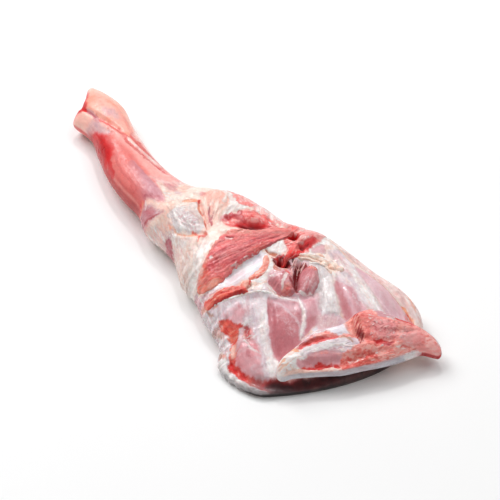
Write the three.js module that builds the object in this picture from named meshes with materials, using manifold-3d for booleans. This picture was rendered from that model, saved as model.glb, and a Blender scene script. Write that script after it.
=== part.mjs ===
// A raw goat fore leg, lying on its outer side with the inner side up: the shank with its knuckle,
// the elbow, and the broad shoulder blade end, where a flap of meat is folded over the rim.
// Millimetres, +Z up. +X runs along the leg, from the knuckle to the shoulder blade end.

import * as THREE from "three";
import { ParametricGeometry } from "three/addons/geometries/ParametricGeometry.js";
import { mergeVertices } from "three/addons/utils/BufferGeometryUtils.js";
import Module from "manifold-3d";

const wasm = await Module();
wasm.setup();

// Every lump of the leg is lofted over ribs. A rib crosses the lump from its near edge to its far edge,
// each edge being x, y and the height of the top there. crown is the extra height of the middle, round the
// share of the half width that the rounded wall takes, and bow how far the rib bulges towards +X.
const legRibs = [
  { near: [-211, 27, 28], far: [-240, 68, 34], crown: 0, round: 1, bow: 9 },
  { near: [-201, 25, 34], far: [-212, 72, 39], crown: 0, round: 1, bow: 4 },
  { near: [-190, 25, 36], far: [-180, 71, 42], crown: 0, round: 1, bow: 0 },
  { near: [-174, 23, 37], far: [-156, 62, 39], crown: 0, round: 1, bow: 0 },
  { near: [-151, 13, 38], far: [-134, 54, 38], crown: 0, round: 1, bow: 0 },
  { near: [-121, 2, 40], far: [-105, 45, 39], crown: 0, round: 1, bow: 0 },
  { near: [-94, -5, 42], far: [-74, 40, 42], crown: 0, round: 0.9, bow: 0 },
  { near: [-69, -10, 43], far: [-45, 40, 46], crown: 1, round: 0.8, bow: 0 },
  { near: [-47, -23, 40], far: [-22, 50, 48], crown: 4, round: 0.6, bow: 0 },
  { near: [-27, -24, 40], far: [-3, 60, 50], crown: 6, round: 0.5, bow: 0 },
  { near: [-4, -28, 40], far: [25, 65, 49], crown: 8, round: 0.45, bow: 0 },
  { near: [22, -43, 36], far: [53, 66, 47], crown: 12, round: 0.35, bow: 0 },
  { near: [42, -47, 34], far: [71, 73, 46], crown: 12, round: 0.3, bow: 0 },
  { near: [60, -55, 31], far: [89, 81, 44], crown: 11, round: 0.28, bow: 0 },
  { near: [79, -60, 26], far: [116, 83, 40], crown: 11, round: 0.25, bow: 0 },
  { near: [92, -67, 19], far: [142, 83, 36], crown: 12, round: 0.2, bow: 1 },
  { near: [99, -76, 14], far: [168, 86, 32], crown: 13, round: 0.16, bow: 3 },
  { near: [112, -80, 11], far: [187, 84, 26], crown: 12, round: 0.12, bow: 5 },
  { near: [129, -78, 10], far: [201, 76, 20], crown: 8, round: 0.1, bow: 11 },
  { near: [145, -72, 10], far: [208, 62, 13], crown: 0, round: 0.1, bow: 19 },
];

// The flap runs along the rim of the broad end. under is the height of its underside.
const flapRibs = [
  { near: [155, -57, 21], far: [144, -54, 25], under: 14, crown: 0, round: 1 },
  { near: [159, -47, 21], far: [143, -43, 31], under: 14, crown: 3, round: 0.5 },
  { near: [168, -36, 21], far: [144, -28, 34], under: 14, crown: 3, round: 0.4 },
  { near: [178, -25, 21], far: [144, -16, 36], under: 14, crown: 4, round: 0.35 },
  { near: [188, -14, 21], far: [145, -5, 37], under: 14, crown: 4, round: 0.35 },
  { near: [197, 1, 21], far: [151, 4, 37], under: 14, crown: 4, round: 0.35 },
  { near: [205, 13, 21], far: [157, 15, 38], under: 14, crown: 5, round: 0.35 },
  { near: [212, 26, 21], far: [159, 30, 40], under: 13, crown: 6, round: 0.35 },
  { near: [217, 39, 21], far: [166, 42, 41], under: 12, crown: 6, round: 0.35 },
  { near: [220, 49, 21], far: [184, 50, 37], under: 12, crown: 5, round: 0.4 },
  { near: [226, 53, 20], far: [201, 63, 32], under: 10, crown: 3, round: 0.6 },
  { near: [233, 61, 17], far: [218, 73, 26], under: 7, crown: 0, round: 1 },
];

// Ridges and grooves run along lines over the top. half is the half width and height the rise, which is
// negative for a groove.
const legRidges = [
  // Groove between the two knuckle lobes.
  { line: [[-226, 46], [-200, 36], [-165, 37], [-143, 38]], half: 6, height: -3 },
  // Seam beside the shank tendon.
  { line: [[-143, 38], [-120, 36], [-95, 34], [-72, 29]], half: 6, height: -1.4 },
  // Start of the shank muscle.
  { line: [[-178, 24], [-162, 28], [-146, 31]], half: 6, height: -1.6 },
  // Tendon band over the elbow.
  { line: [[-38, -20], [-36, 5], [-28, 28], [-24, 42]], half: 9, height: 1.8 },
  // Seam below the elbow fat.
  { line: [[-26, 8], [-18, 19], [-8, 13], [2, 7], [14, 3]], half: 6, height: -2.6 },
  // Seam beside the fascia.
  { line: [[-16, -16], [0, -12], [12, -5], [20, -11]], half: 5, height: -1.4 },
  // Lip of the cut breast muscle.
  { line: [[20, 6], [36, 19], [50, 30], [62, 46]], half: 6, height: 2.6 },
  // Hollow beside the breast muscle.
  { line: [[66, 14], [63, -4], [58, -24]], half: 7, height: -3.2 },
  // Thick end of the red curl.
  { line: [[61, -47], [62, -36], [67, -26], [76, -17]], half: 6, height: 5 },
  // Thin end of the red curl.
  { line: [[76, -17], [74, -8], [77, 4], [73, 15]], half: 5, height: 2.6 },
  // Fat ridge beside the red curl.
  { line: [[68, -44], [80, -22], [91, -10], [104, -3], [118, 5]], half: 6, height: 2.6 },
  // Long strand over the pit.
  { line: [[87, 36], [96, 44], [108, 51], [121, 54]], half: 5, height: 4 },
  // Short strand over the pit.
  { line: [[97, 36], [110, 44], [122, 42]], half: 5, height: 2.6 },
  // Slot between the muscle heads.
  { line: [[92, 34], [98, 24], [104, 16], [112, 10]], half: 5, height: -10 },
  // Fold below the muscle heads.
  { line: [[84, 1], [100, -3], [112, 3], [121, 12], [124, 22]], half: 5, height: -2.8 },
  // Red spike over the cavity.
  { line: [[79, 44], [83, 32], [88, 19]], half: 5, height: 5 },
  // Near seam of the blade muscle.
  { line: [[101, -12], [118, -27], [142, -46]], half: 5, height: -1.6 },
  // Far seam of the blade muscle.
  { line: [[121, 0], [132, -10], [143, -17]], half: 5, height: 1.6 },
  // White band over the blade.
  { line: [[124, 42], [136, 28], [148, 14]], half: 10, height: 2.2 },
  // Band between the far muscles.
  { line: [[118, 58], [150, 53], [182, 47]], half: 7, height: 1.8 },
  // Fold before the far fat strip.
  { line: [[112, 70], [150, 73], [180, 71], [200, 65]], half: 6, height: -2.2 },
  // Trough inside the fat rim.
  {
    line: [[78, -52], [94, -52], [105, -61], [114, -69], [130, -69], [147, -62], [164, -46], [184, -20]],
    half: 7,
    height: -4,
  },
];

const flapRidges = [
  // Bead along the near edge.
  { line: [[158, -54], [168, -36], [188, -14], [205, 12], [217, 38], [226, 53]], half: 5, height: 1.6 },
  // Stripe inside the near edge.
  { line: [[158, -38], [174, -20], [190, 4]], half: 6, height: -2.4 },
  // Seam of the flap membrane.
  { line: [[149, -30], [155, -14], [166, 4]], half: 5, height: -1.8 },
  // Fold beside the red lump.
  { line: [[158, 21], [170, 13], [186, 19], [196, 30]], half: 6, height: -3.4 },
];

// Mounds and hollows are ellipses in plan. long and wide are the half lengths, turn the angle of the long
// one from +X in degrees, and height the rise, which is negative for a hollow.
const legMounds = [
  // Elbow fat lobes.
  { at: [-3, 26], long: 24, wide: 14, turn: -40, height: 4.5 },
  // Fascia over the elbow.
  { at: [-8, -1], long: 17, wide: 13, turn: 0, height: 2 },
  // White knob beside the red lobes.
  { at: [13, 36], long: 9, wide: 8, turn: 0, height: 3.2 },
  // Red lobes over the hole.
  { at: [28, 41], long: 26, wide: 15, turn: 10, height: 4 },
  // Dark hole.
  { at: [40, 30], long: 16, wide: 8, turn: 32, height: -10 },
  // Breast muscle.
  { at: [46, -10], long: 36, wide: 16, turn: 78, height: 2.6 },
  // Cavity under the spike.
  { at: [84, 19], long: 9, wide: 7, turn: 20, height: -13 },
  // Near muscle head.
  { at: [98, 8], long: 17, wide: 11, turn: -15, height: 5 },
  // Far muscle head.
  { at: [113, 25], long: 18, wide: 9, turn: -60, height: 5 },
  // Red lobe at the far edge.
  { at: [82, 56], long: 22, wide: 11, turn: 78, height: 3.6 },
  // Dent in the far lobe.
  { at: [73, 48], long: 7, wide: 5, turn: 80, height: -4 },
  // Blade muscle.
  { at: [123, -22], long: 28, wide: 18, turn: -36, height: 2.6 },
  // Small blade muscle.
  { at: [131, 6], long: 16, wide: 9, turn: -50, height: 2 },
  // Far blade muscle.
  { at: [147, 38], long: 24, wide: 10, turn: -32, height: 2.2 },
  // Muscle beside the far strip.
  { at: [166, 63], long: 38, wide: 8, turn: -5, height: 2.2 },
  // Pad under the near membrane.
  { at: [88, -34], long: 16, wide: 11, turn: -20, height: 1.8 },
  // Pad inside the fat rim.
  { at: [120, -56], long: 26, wide: 11, turn: -10, height: 2.8 },
];

const flapMounds = [
  // Rounded left lobe.
  { at: [151, -43], long: 14, wide: 9, turn: 65, height: 2.4 },
  // Red lump.
  { at: [173, 32], long: 19, wide: 14, turn: 40, height: 4 },
];

// Two thirds of a ring's columns lie on the upper side, where the relief is.
const upperShare = 2 / 3;
const legMesh = { rows: 92, columns: 57, crowding: 0.85, noseAtStart: 7, noseAtEnd: 6, sunk: 2 };
const flapMesh = { rows: 32, columns: 24, crowding: 1, noseAtStart: 8, noseAtEnd: 10, sunk: 0 };

// How squarely an end closes: 2 would be an ellipse's nose, and more is blunter.
const noseSquareness = 3;
// Vertices closer than this are one.
const mergeDistance = 1e-3;

const meat = new THREE.MeshStandardMaterial({ color: 0xd9837c, roughness: 0.45, metalness: 0 });

// A smooth curve through one value of every rib, by Catmull-Rom.
function along(values) {
  const points = values.map(([x, y, z]) => new THREE.Vector3(x, y, z));
  return new THREE.CatmullRomCurve3(points, false, "catmullrom", 0.5);
}

// The share of its full size that a lump has at a distance from an end, where it closes like a blunt nose.
function nose(distance, length) {
  const left = 1 - Math.min(1, distance / length);
  return Math.max(0, 1 - left ** noseSquareness) ** (1 / noseSquareness);
}

// The share of its way over the top or the underside that a ring has run after the share s of its columns.
// The last ring of a lump is a line, on which the top's columns meet those of the underside.
function wayOf(s, columns, isLast) {
  const underside = columns * (1 - upperShare);
  if (s > upperShare) {
    return (1 - s) / (1 - upperShare);
  }
  const way = s / upperShare;
  return isLast ? Math.round(way * underside) / underside : way;
}

// Where a ring that starts at the near wall's middle, runs over the top and comes back under the lump is
// after a share of its way: across from -1 near to 1 far, and level from -1 at the bottom to 1 at the top.
function ringPoint(way, upper, halfWidth, halfHeight, round) {
  const flat = 2 * halfWidth * (1 - round);
  const arc = (Math.PI / 4) * (halfWidth * round + halfHeight);
  const distance = way * (flat + 2 * arc);
  const sign = upper ? 1 : -1;
  if (distance < arc) {
    const angle = (Math.PI / 2) * (distance / arc);
    return { across: -1 + round * (1 - Math.cos(angle)), level: sign * Math.sin(angle) };
  }
  if (distance > arc + flat) {
    const angle = (Math.PI / 2) * ((flat + 2 * arc - distance) / arc);
    return { across: 1 - round * (1 - Math.cos(angle)), level: sign * Math.sin(angle) };
  }
  return { across: -1 + round + (distance - arc) / halfWidth, level: sign };
}

// How high a bump of the height 1 stands at a share of its half width: 1 in the middle and 0 at the foot.
function bump(share) {
  return share < 1 ? (1 - share * share) ** 2 : 0;
}

// How far a point of the plan is from a line of straight pieces.
function distanceToLine(x, y, line) {
  let nearest = Infinity;
  for (let i = 1; i < line.length; i += 1) {
    const [startX, startY] = line[i - 1];
    const [endX, endY] = line[i];
    const stepX = endX - startX;
    const stepY = endY - startY;
    const way = ((x - startX) * stepX + (y - startY) * stepY) / (stepX * stepX + stepY * stepY);
    const share = Math.min(1, Math.max(0, way));
    nearest = Math.min(nearest, Math.hypot(x - startX - stepX * share, y - startY - stepY * share));
  }
  return nearest;
}

// The rise of all ridges and mounds together at a point of the plan.
function reliefOf(ridges, mounds) {
  return (x, y) => {
    let rise = 0;
    for (const { line, half, height } of ridges) {
      rise += height * bump(distanceToLine(x, y, line) / half);
    }
    for (const { at, long, wide, turn, height } of mounds) {
      const angle = THREE.MathUtils.degToRad(turn);
      const alongX = (x - at[0]) * Math.cos(angle) + (y - at[1]) * Math.sin(angle);
      const alongY = (y - at[1]) * Math.cos(angle) - (x - at[0]) * Math.sin(angle);
      rise += height * bump(Math.hypot(alongX / long, alongY / wide));
    }
    return rise;
  };
}

// A closed lump lofted over its ribs. sunk is how far its round underside is cut off to rest flat, and
// crowding below 1 draws the rows together towards the last rib.
function lump(ribs, { rows, columns, crowding, noseAtStart, noseAtEnd, sunk }, relief) {
  const near = along(ribs.map((rib) => rib.near));
  const far = along(ribs.map((rib) => rib.far));
  const trim = along(ribs.map((rib) => [rib.crown, rib.round, rib.bow ?? 0]));
  const under = along(ribs.map((rib) => [rib.under ?? 0, 0, 0]));
  const middle = new THREE.CatmullRomCurve3(
    ribs.map(({ near: a, far: b }) => new THREE.Vector3((a[0] + b[0]) / 2, (a[1] + b[1]) / 2, 0)),
  );
  const length = middle.getLength();
  const a = new THREE.Vector3();
  const b = new THREE.Vector3();
  const shape = new THREE.Vector3();
  const base = new THREE.Vector3();
  const surface = (u, row, target) => {
    const v = row ** crowding;
    near.getPoint(v, a);
    far.getPoint(v, b);
    trim.getPoint(v, shape);
    under.getPoint(v, base);
    const startShare = nose(v * length, noseAtStart);
    const endShare = nose((1 - v) * length, noseAtEnd);
    const halfWidth = Math.hypot(b.x - a.x, b.y - a.y) / 2;
    const round = Math.min(1, shape.y);
    const halfHeight = ((a.z + b.z) / 2 - base.x) / 2;
    const s = 1 - u;
    const ring = ringPoint(wayOf(s, columns, row === 1), s <= upperShare, halfWidth, halfHeight, round);
    const across = ring.across * startShare;
    const share = (across + 1) / 2;
    const x = a.x + (b.x - a.x) * share + shape.z * (1 - across * across);
    const y = a.y + (b.y - a.y) * share;
    const level = ring.level * startShare * endShare;
    const top = a.z + (b.z - a.z) * share + shape.x * (1 - across * across);
    const low = base.x - sunk;
    const rise = top + relief(x, y) * Math.max(0, level) - low;
    target.set(x, y, Math.max(base.x, low + (rise * (level + 1)) / 2));
  };
  return new ParametricGeometry(surface, columns, rows);
}

// A closed solid from a closed surface.
function solidOf(geometry) {
  geometry.deleteAttribute("normal");
  geometry.deleteAttribute("uv");
  const merged = mergeVertices(geometry, mergeDistance);
  const solid = new wasm.Manifold(
    new wasm.Mesh({
      numProp: 3,
      vertProperties: merged.attributes.position.array,
      triVerts: new Uint32Array(merged.index.array),
    }),
  );
  return solid;
}

// The surface of a solid, for its mesh.
function geometryOf(solid) {
  const { vertProperties, triVerts, numProp } = solid.getMesh();
  const positions = new THREE.InterleavedBuffer(vertProperties, numProp);
  const geometry = new THREE.BufferGeometry();
  geometry.setAttribute("position", new THREE.InterleavedBufferAttribute(positions, 3, 0));
  geometry.setIndex(new THREE.BufferAttribute(triVerts, 1));
  geometry.computeVertexNormals();
  return geometry;
}

const body = solidOf(lump(legRibs, legMesh, reliefOf(legRidges, legMounds)));
const flap = solidOf(lump(flapRibs, flapMesh, reliefOf(flapRidges, flapMounds)));
const whole = body.add(flap);
const { min, max } = whole.boundingBox();
const centred = whole.translate([-(min[0] + max[0]) / 2, -(min[1] + max[1]) / 2, 0]);
const leg = new THREE.Mesh(geometryOf(centred), meat);
leg.name = "leg";

const root = new THREE.Group();
root.add(leg);

export default root;
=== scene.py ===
"""The raw goat leg with its tissues, on a plain pale floor in soft studio light.

Every table below is written in the leg's own millimetres: +X runs along the leg from the knuckle to the broad
end, +Y to its far side and +Z up. The near side is the one that faces the camera.
"""

import logging
import math
from dataclasses import dataclass, field
from enum import Enum, IntEnum

import bpy
import numpy as np
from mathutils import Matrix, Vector


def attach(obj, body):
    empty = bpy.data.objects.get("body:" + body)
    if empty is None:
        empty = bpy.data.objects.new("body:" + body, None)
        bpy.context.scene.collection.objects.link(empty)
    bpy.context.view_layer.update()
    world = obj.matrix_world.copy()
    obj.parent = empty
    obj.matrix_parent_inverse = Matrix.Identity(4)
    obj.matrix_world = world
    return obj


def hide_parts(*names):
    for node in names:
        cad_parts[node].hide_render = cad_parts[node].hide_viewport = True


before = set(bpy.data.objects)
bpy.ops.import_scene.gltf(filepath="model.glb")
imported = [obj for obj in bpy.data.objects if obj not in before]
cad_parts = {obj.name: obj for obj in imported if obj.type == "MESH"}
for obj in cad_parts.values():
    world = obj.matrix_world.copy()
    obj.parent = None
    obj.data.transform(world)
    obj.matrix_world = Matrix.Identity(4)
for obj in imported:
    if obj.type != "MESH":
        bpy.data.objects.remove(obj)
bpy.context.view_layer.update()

log = logging.getLogger("goat_leg")

Array = np.ndarray
Point = tuple[float, float]
Line = tuple[Point, ...]
Colour = tuple[int, int, int]
Turn = float | Point

MILLIMETRE = 0.001
# The middle of the leg's outline in the tables' millimetres, which is the origin of the frame.
MIDDLE = (2.099, 2.994)
BODY = "root"
NODE = "leg"


# Numbers worked out over whole arrays


class Seed(IntEnum):
    """Where each noise starts, so that no two of them look alike."""

    PATCH_EDGE = 5
    STREAK_WIDTH = 6
    TISSUE = 11
    STRAY_X = 31
    STRAY_Y = 41
    STRIP_NEAR = 71
    STRIP_FAR = 72
    TORN_EDGE = 81
    BODY = 301
    FLAP = 401
    LAYER = 501


class Further(IntEnum):
    """What the patterns of one thing add to its seed, so that they differ from one another."""

    BEND = 1
    CRUMBS = 2
    STRANDS = 3
    SMALL_LUMPS = 4
    HIGH_STRANDS = 8
    THREADS = 9


# Large odd numbers that stir two whole coordinates and a seed into a number that looks random.
STIR_X = np.uint64(374761393)
STIR_Y = np.uint64(668265263)
STIR_SEED = np.uint64(2246822519)
# How far the number is shifted onto itself and what it is then multiplied by, twice over.
STIR_AGAIN = ((np.uint64(13), np.uint64(1274126177)), (np.uint64(16), np.uint64(2654435761)))
LOW_32_BITS = np.uint64(0xFFFFFFFF)
LOW_16_BITS = np.uint64(0xFFFF)
DROPPED_BITS = np.uint64(8)
# How far one octave of noise is moved from the one before it, and how strongly the lumps stand out.
OCTAVE_STEP = (17.3, 9.1)
NOISE_CONTRAST = 1.7
# The least number that a length or a step is divided by.
SMALLEST = 1e-9
# How large a ridge or a streak still is at its two ends, as a share of its full size.
END_SHARE = 0.35


def smoothstep(low: float, high: float, value: Array) -> Array:
    """A smooth rise from 0 at low to 1 at high: 3t² - 2t³ of the share t of the way."""
    share = np.clip((value - low) / (high - low), 0, 1)
    return share * share * (3 - 2 * share)


def bump(share: Array) -> Array:
    """A round bump, 1 in the middle and 0 from a share of 1 on: (1 - share²)²."""
    return np.where(share < 1, (1 - share * share) ** 2, 0)


def mix(first: Array, second: Array, share: Array) -> Array:
    """The way from first to second by a share of it for each row."""
    return first + (second - first) * share[:, None]


def linear(colour: Array) -> Array:
    """Display colours from 0 to 1 as the light they stand for, by the usual curve of a screen."""
    return np.where(colour <= 0.04045, colour / 12.92, ((np.maximum(colour, 0) + 0.055) / 1.055) ** 2.4)


def lattice(x: Array, y: Array, seed: int) -> Array:
    """A random number from 0 to 1 for each whole point of a plane, from its coordinates and the seed."""
    mixed = (x.astype(np.int64).astype(np.uint64) * STIR_X) & LOW_32_BITS
    mixed = (mixed + y.astype(np.int64).astype(np.uint64) * STIR_Y) & LOW_32_BITS
    mixed = (mixed + np.uint64(seed) * STIR_SEED) & LOW_32_BITS
    for shift, factor in STIR_AGAIN:
        mixed = ((mixed ^ (mixed >> shift)) * factor) & LOW_32_BITS
    return ((mixed >> DROPPED_BITS) & LOW_16_BITS) / float(LOW_16_BITS)


def noise(x: Array, y: Array, seed: int, octaves: int = 3) -> Array:
    """Soft noise from 0 to 1, about 0.5 on average.

    Each octave draws a random number at every whole point and joins them smoothly. The next octave is half as
    large and half as strong.

    Args:
        x: places along the first axis, in lumps of noise.
        y: places along the second axis, in lumps of noise.
        seed: which noise it is.
        octaves: how many sizes of lump are added up.

    Returns:
        One number for each place.
    """
    total = np.zeros_like(x, dtype=float)
    weight = 0.0
    for octave in range(octaves):
        size = 2.0**octave
        px, py = x * size + OCTAVE_STEP[0] * octave, y * size + OCTAVE_STEP[1] * octave
        ix, iy = np.floor(px), np.floor(py)
        fx, fy = px - ix, py - iy
        fx, fy = fx * fx * (3 - 2 * fx), fy * fy * (3 - 2 * fy)
        corner = [lattice(ix + i, iy + j, seed + octave) for i in (0, 1) for j in (0, 1)]
        near = corner[0] + (corner[1] - corner[0]) * fy
        far = corner[2] + (corner[3] - corner[2]) * fy
        total += (near + (far - near) * fx) / size
        weight += 1 / size
    return np.clip((total / weight - 0.5) * NOISE_CONTRAST + 0.5, 0, 1)


def spline(points: Array, ways: Array, closed: bool = False) -> Array:
    """A smooth curve through points, at shares of its way from 0 to 1, by Catmull-Rom.

    Each span is the cubic that leaves a point along half the step from the point before it to the one after
    it.

    Args:
        points: one row for each point.
        ways: where on the curve, with every span of the same length in ways.
        closed: whether the curve comes back to its first point.

    Returns:
        One row for each way.
    """
    if closed:
        spans = len(points)
        padded = np.vstack([points[-1:], points, points[:2]])
    else:
        spans = len(points) - 1
        padded = np.vstack([2 * points[:1] - points[1:2], points, 2 * points[-1:] - points[-2:-1]])
    place = np.clip(ways, 0, 1) * spans
    span = np.minimum(place.astype(int), spans - 1)
    t = (place - span)[:, None]
    before, start, end, after = (padded[span + i] for i in range(4))
    leave, arrive = (end - before) / 2, (after - start) / 2
    cubic = 2 * start - 2 * end + leave + arrive
    square = 3 * end - 3 * start - 2 * leave - arrive
    return ((cubic * t + square) * t + leave) * t + start


def smooth_line(line: Line, closed: bool = False, steps: int = 8) -> Array:
    """The points of a line of the tables with the corners rounded, steps to a span."""
    count = len(line) * steps
    ways = np.arange(count) / count if closed else np.linspace(0, 1, count)
    return spline(np.array(line, float), ways, closed)


def nearest(x: Array, y: Array, path: Array, closed: bool = False) -> tuple[Array, Array, Array]:
    """How points lie to a path of straight pieces.

    Args:
        x: the points' places along X.
        y: the points' places along Y.
        path: the corners of the path, one row each.
        closed: whether its last corner joins its first.

    Returns:
        The distance to the path, the share of the path's corners passed at the nearest place, and the side: 1
        to the left of the path's direction and -1 to the right.
    """
    start = path if closed else path[:-1]
    end = np.roll(path, -1, axis=0) if closed else path[1:]
    step = end - start
    length = np.maximum((step**2).sum(1), SMALLEST)
    dx, dy = x[:, None] - start[:, 0], y[:, None] - start[:, 1]
    share = np.clip((dx * step[:, 0] + dy * step[:, 1]) / length, 0, 1)
    away = (dx - step[:, 0] * share) ** 2 + (dy - step[:, 1] * share) ** 2
    best = away.argmin(1)
    rows = np.arange(len(x))
    turn = step[best, 0] * dy[rows, best] - step[best, 1] * dx[rows, best]
    way = (best + share[rows, best]) / len(start)
    return np.sqrt(away[rows, best]), way, np.where(turn >= 0, 1.0, -1.0)


def inside_depth(x: Array, y: Array, outline: Array) -> Array:
    """How deep points lie inside a closed outline, negative outside it; a ray's crossings tell which."""
    start, end = outline, np.roll(outline, -1, axis=0)
    py = y[:, None]
    spans = (start[:, 1] > py) != (end[:, 1] > py)
    rise = np.where(end[:, 1] == start[:, 1], SMALLEST, end[:, 1] - start[:, 1])
    crossing = start[:, 0] + (py - start[:, 1]) / rise * (end[:, 0] - start[:, 0])
    inside = ((x[:, None] < crossing) & spans).sum(1) % 2 == 1
    distance, _, _ = nearest(x, y, outline, closed=True)
    return np.where(inside, distance, -distance)


def turned(x: Array, y: Array, degrees: float) -> tuple[Array, Array]:
    """Places along and across a direction that lies so many degrees from +X towards +Y."""
    angle = math.radians(degrees)
    return x * math.cos(angle) + y * math.sin(angle), y * math.cos(angle) - x * math.sin(angle)


def tapered(way: Array, over: float) -> Array:
    """The share of its full size that a line has: END_SHARE at both ends, and 1 from the share over on."""
    return END_SHARE + (1 - END_SHARE) * smoothstep(0, over, way) * smoothstep(0, over, 1 - way)


def close_by(x: Array, y: Array, points: Array, margin: float) -> Array:
    """The indices of the places that lie in the box of some points, or within a margin of it."""
    low, high = points.min(0) - margin, points.max(0) + margin
    return np.flatnonzero((x > low[0]) & (x < high[0]) & (y > low[1]) & (y < high[1]))


# The relief of the upper side

# The share of its way over which a ridge thins out at each end.
RIDGE_TAPER = 0.12


@dataclass(frozen=True)
class Ridge:
    """A ridge along a line, or with a negative height a groove, that thins out at both ends."""

    line: Line
    half: float
    height: float

    def rise(self, x: Array, y: Array) -> Array:
        """height times a bump of the distance from the line, lower towards the line's two ends."""
        out = np.zeros_like(x)
        path = smooth_line(self.line)
        at = close_by(x, y, path, self.half)
        distance, way, _ = nearest(x[at], y[at], path)
        out[at] = self.height * bump(distance / self.half) * tapered(way, RIDGE_TAPER)
        return out


@dataclass(frozen=True)
class Mound:
    """A rounded swelling, or with a negative height a hollow, on an oval."""

    at: Point
    long: float
    wide: float
    turn: float
    height: float

    def rise(self, x: Array, y: Array) -> Array:
        """height times a bump of the distance from the middle, measured in the oval's half axes."""
        along, across = turned(x - self.at[0], y - self.at[1], self.turn)
        return self.height * bump(np.hypot(along / self.long, across / self.wide))


Relief = tuple[Ridge | Mound, ...]


def rise_of(relief: Relief, x: Array, y: Array) -> Array:
    """The rise of all the parts of a relief together."""
    return sum((part.rise(x, y) for part in relief), np.zeros_like(x))


# Tissues and how they are laid on


@dataclass(frozen=True)
class Finish:
    """What one tissue looks like.

    colour is its main colour and second the one it is mottled with, both as a screen shows them. share is how
    much of it the second takes, in mottles of size millimetres, stretched so many times along the tissue's
    own direction. wet is how much its film of water shines, lumps the height of its own uneven surface in
    millimetres, fibres how strongly its strands show and threads how many pale threads cross it.
    """

    colour: Colour
    second: Colour
    share: float = 0.4
    size: float = 6.0
    stretch: float = 1.0
    wet: float = 0.6
    lumps: float = 0.3
    fibres: float = 0.0
    threads: float = 0.0


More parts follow.
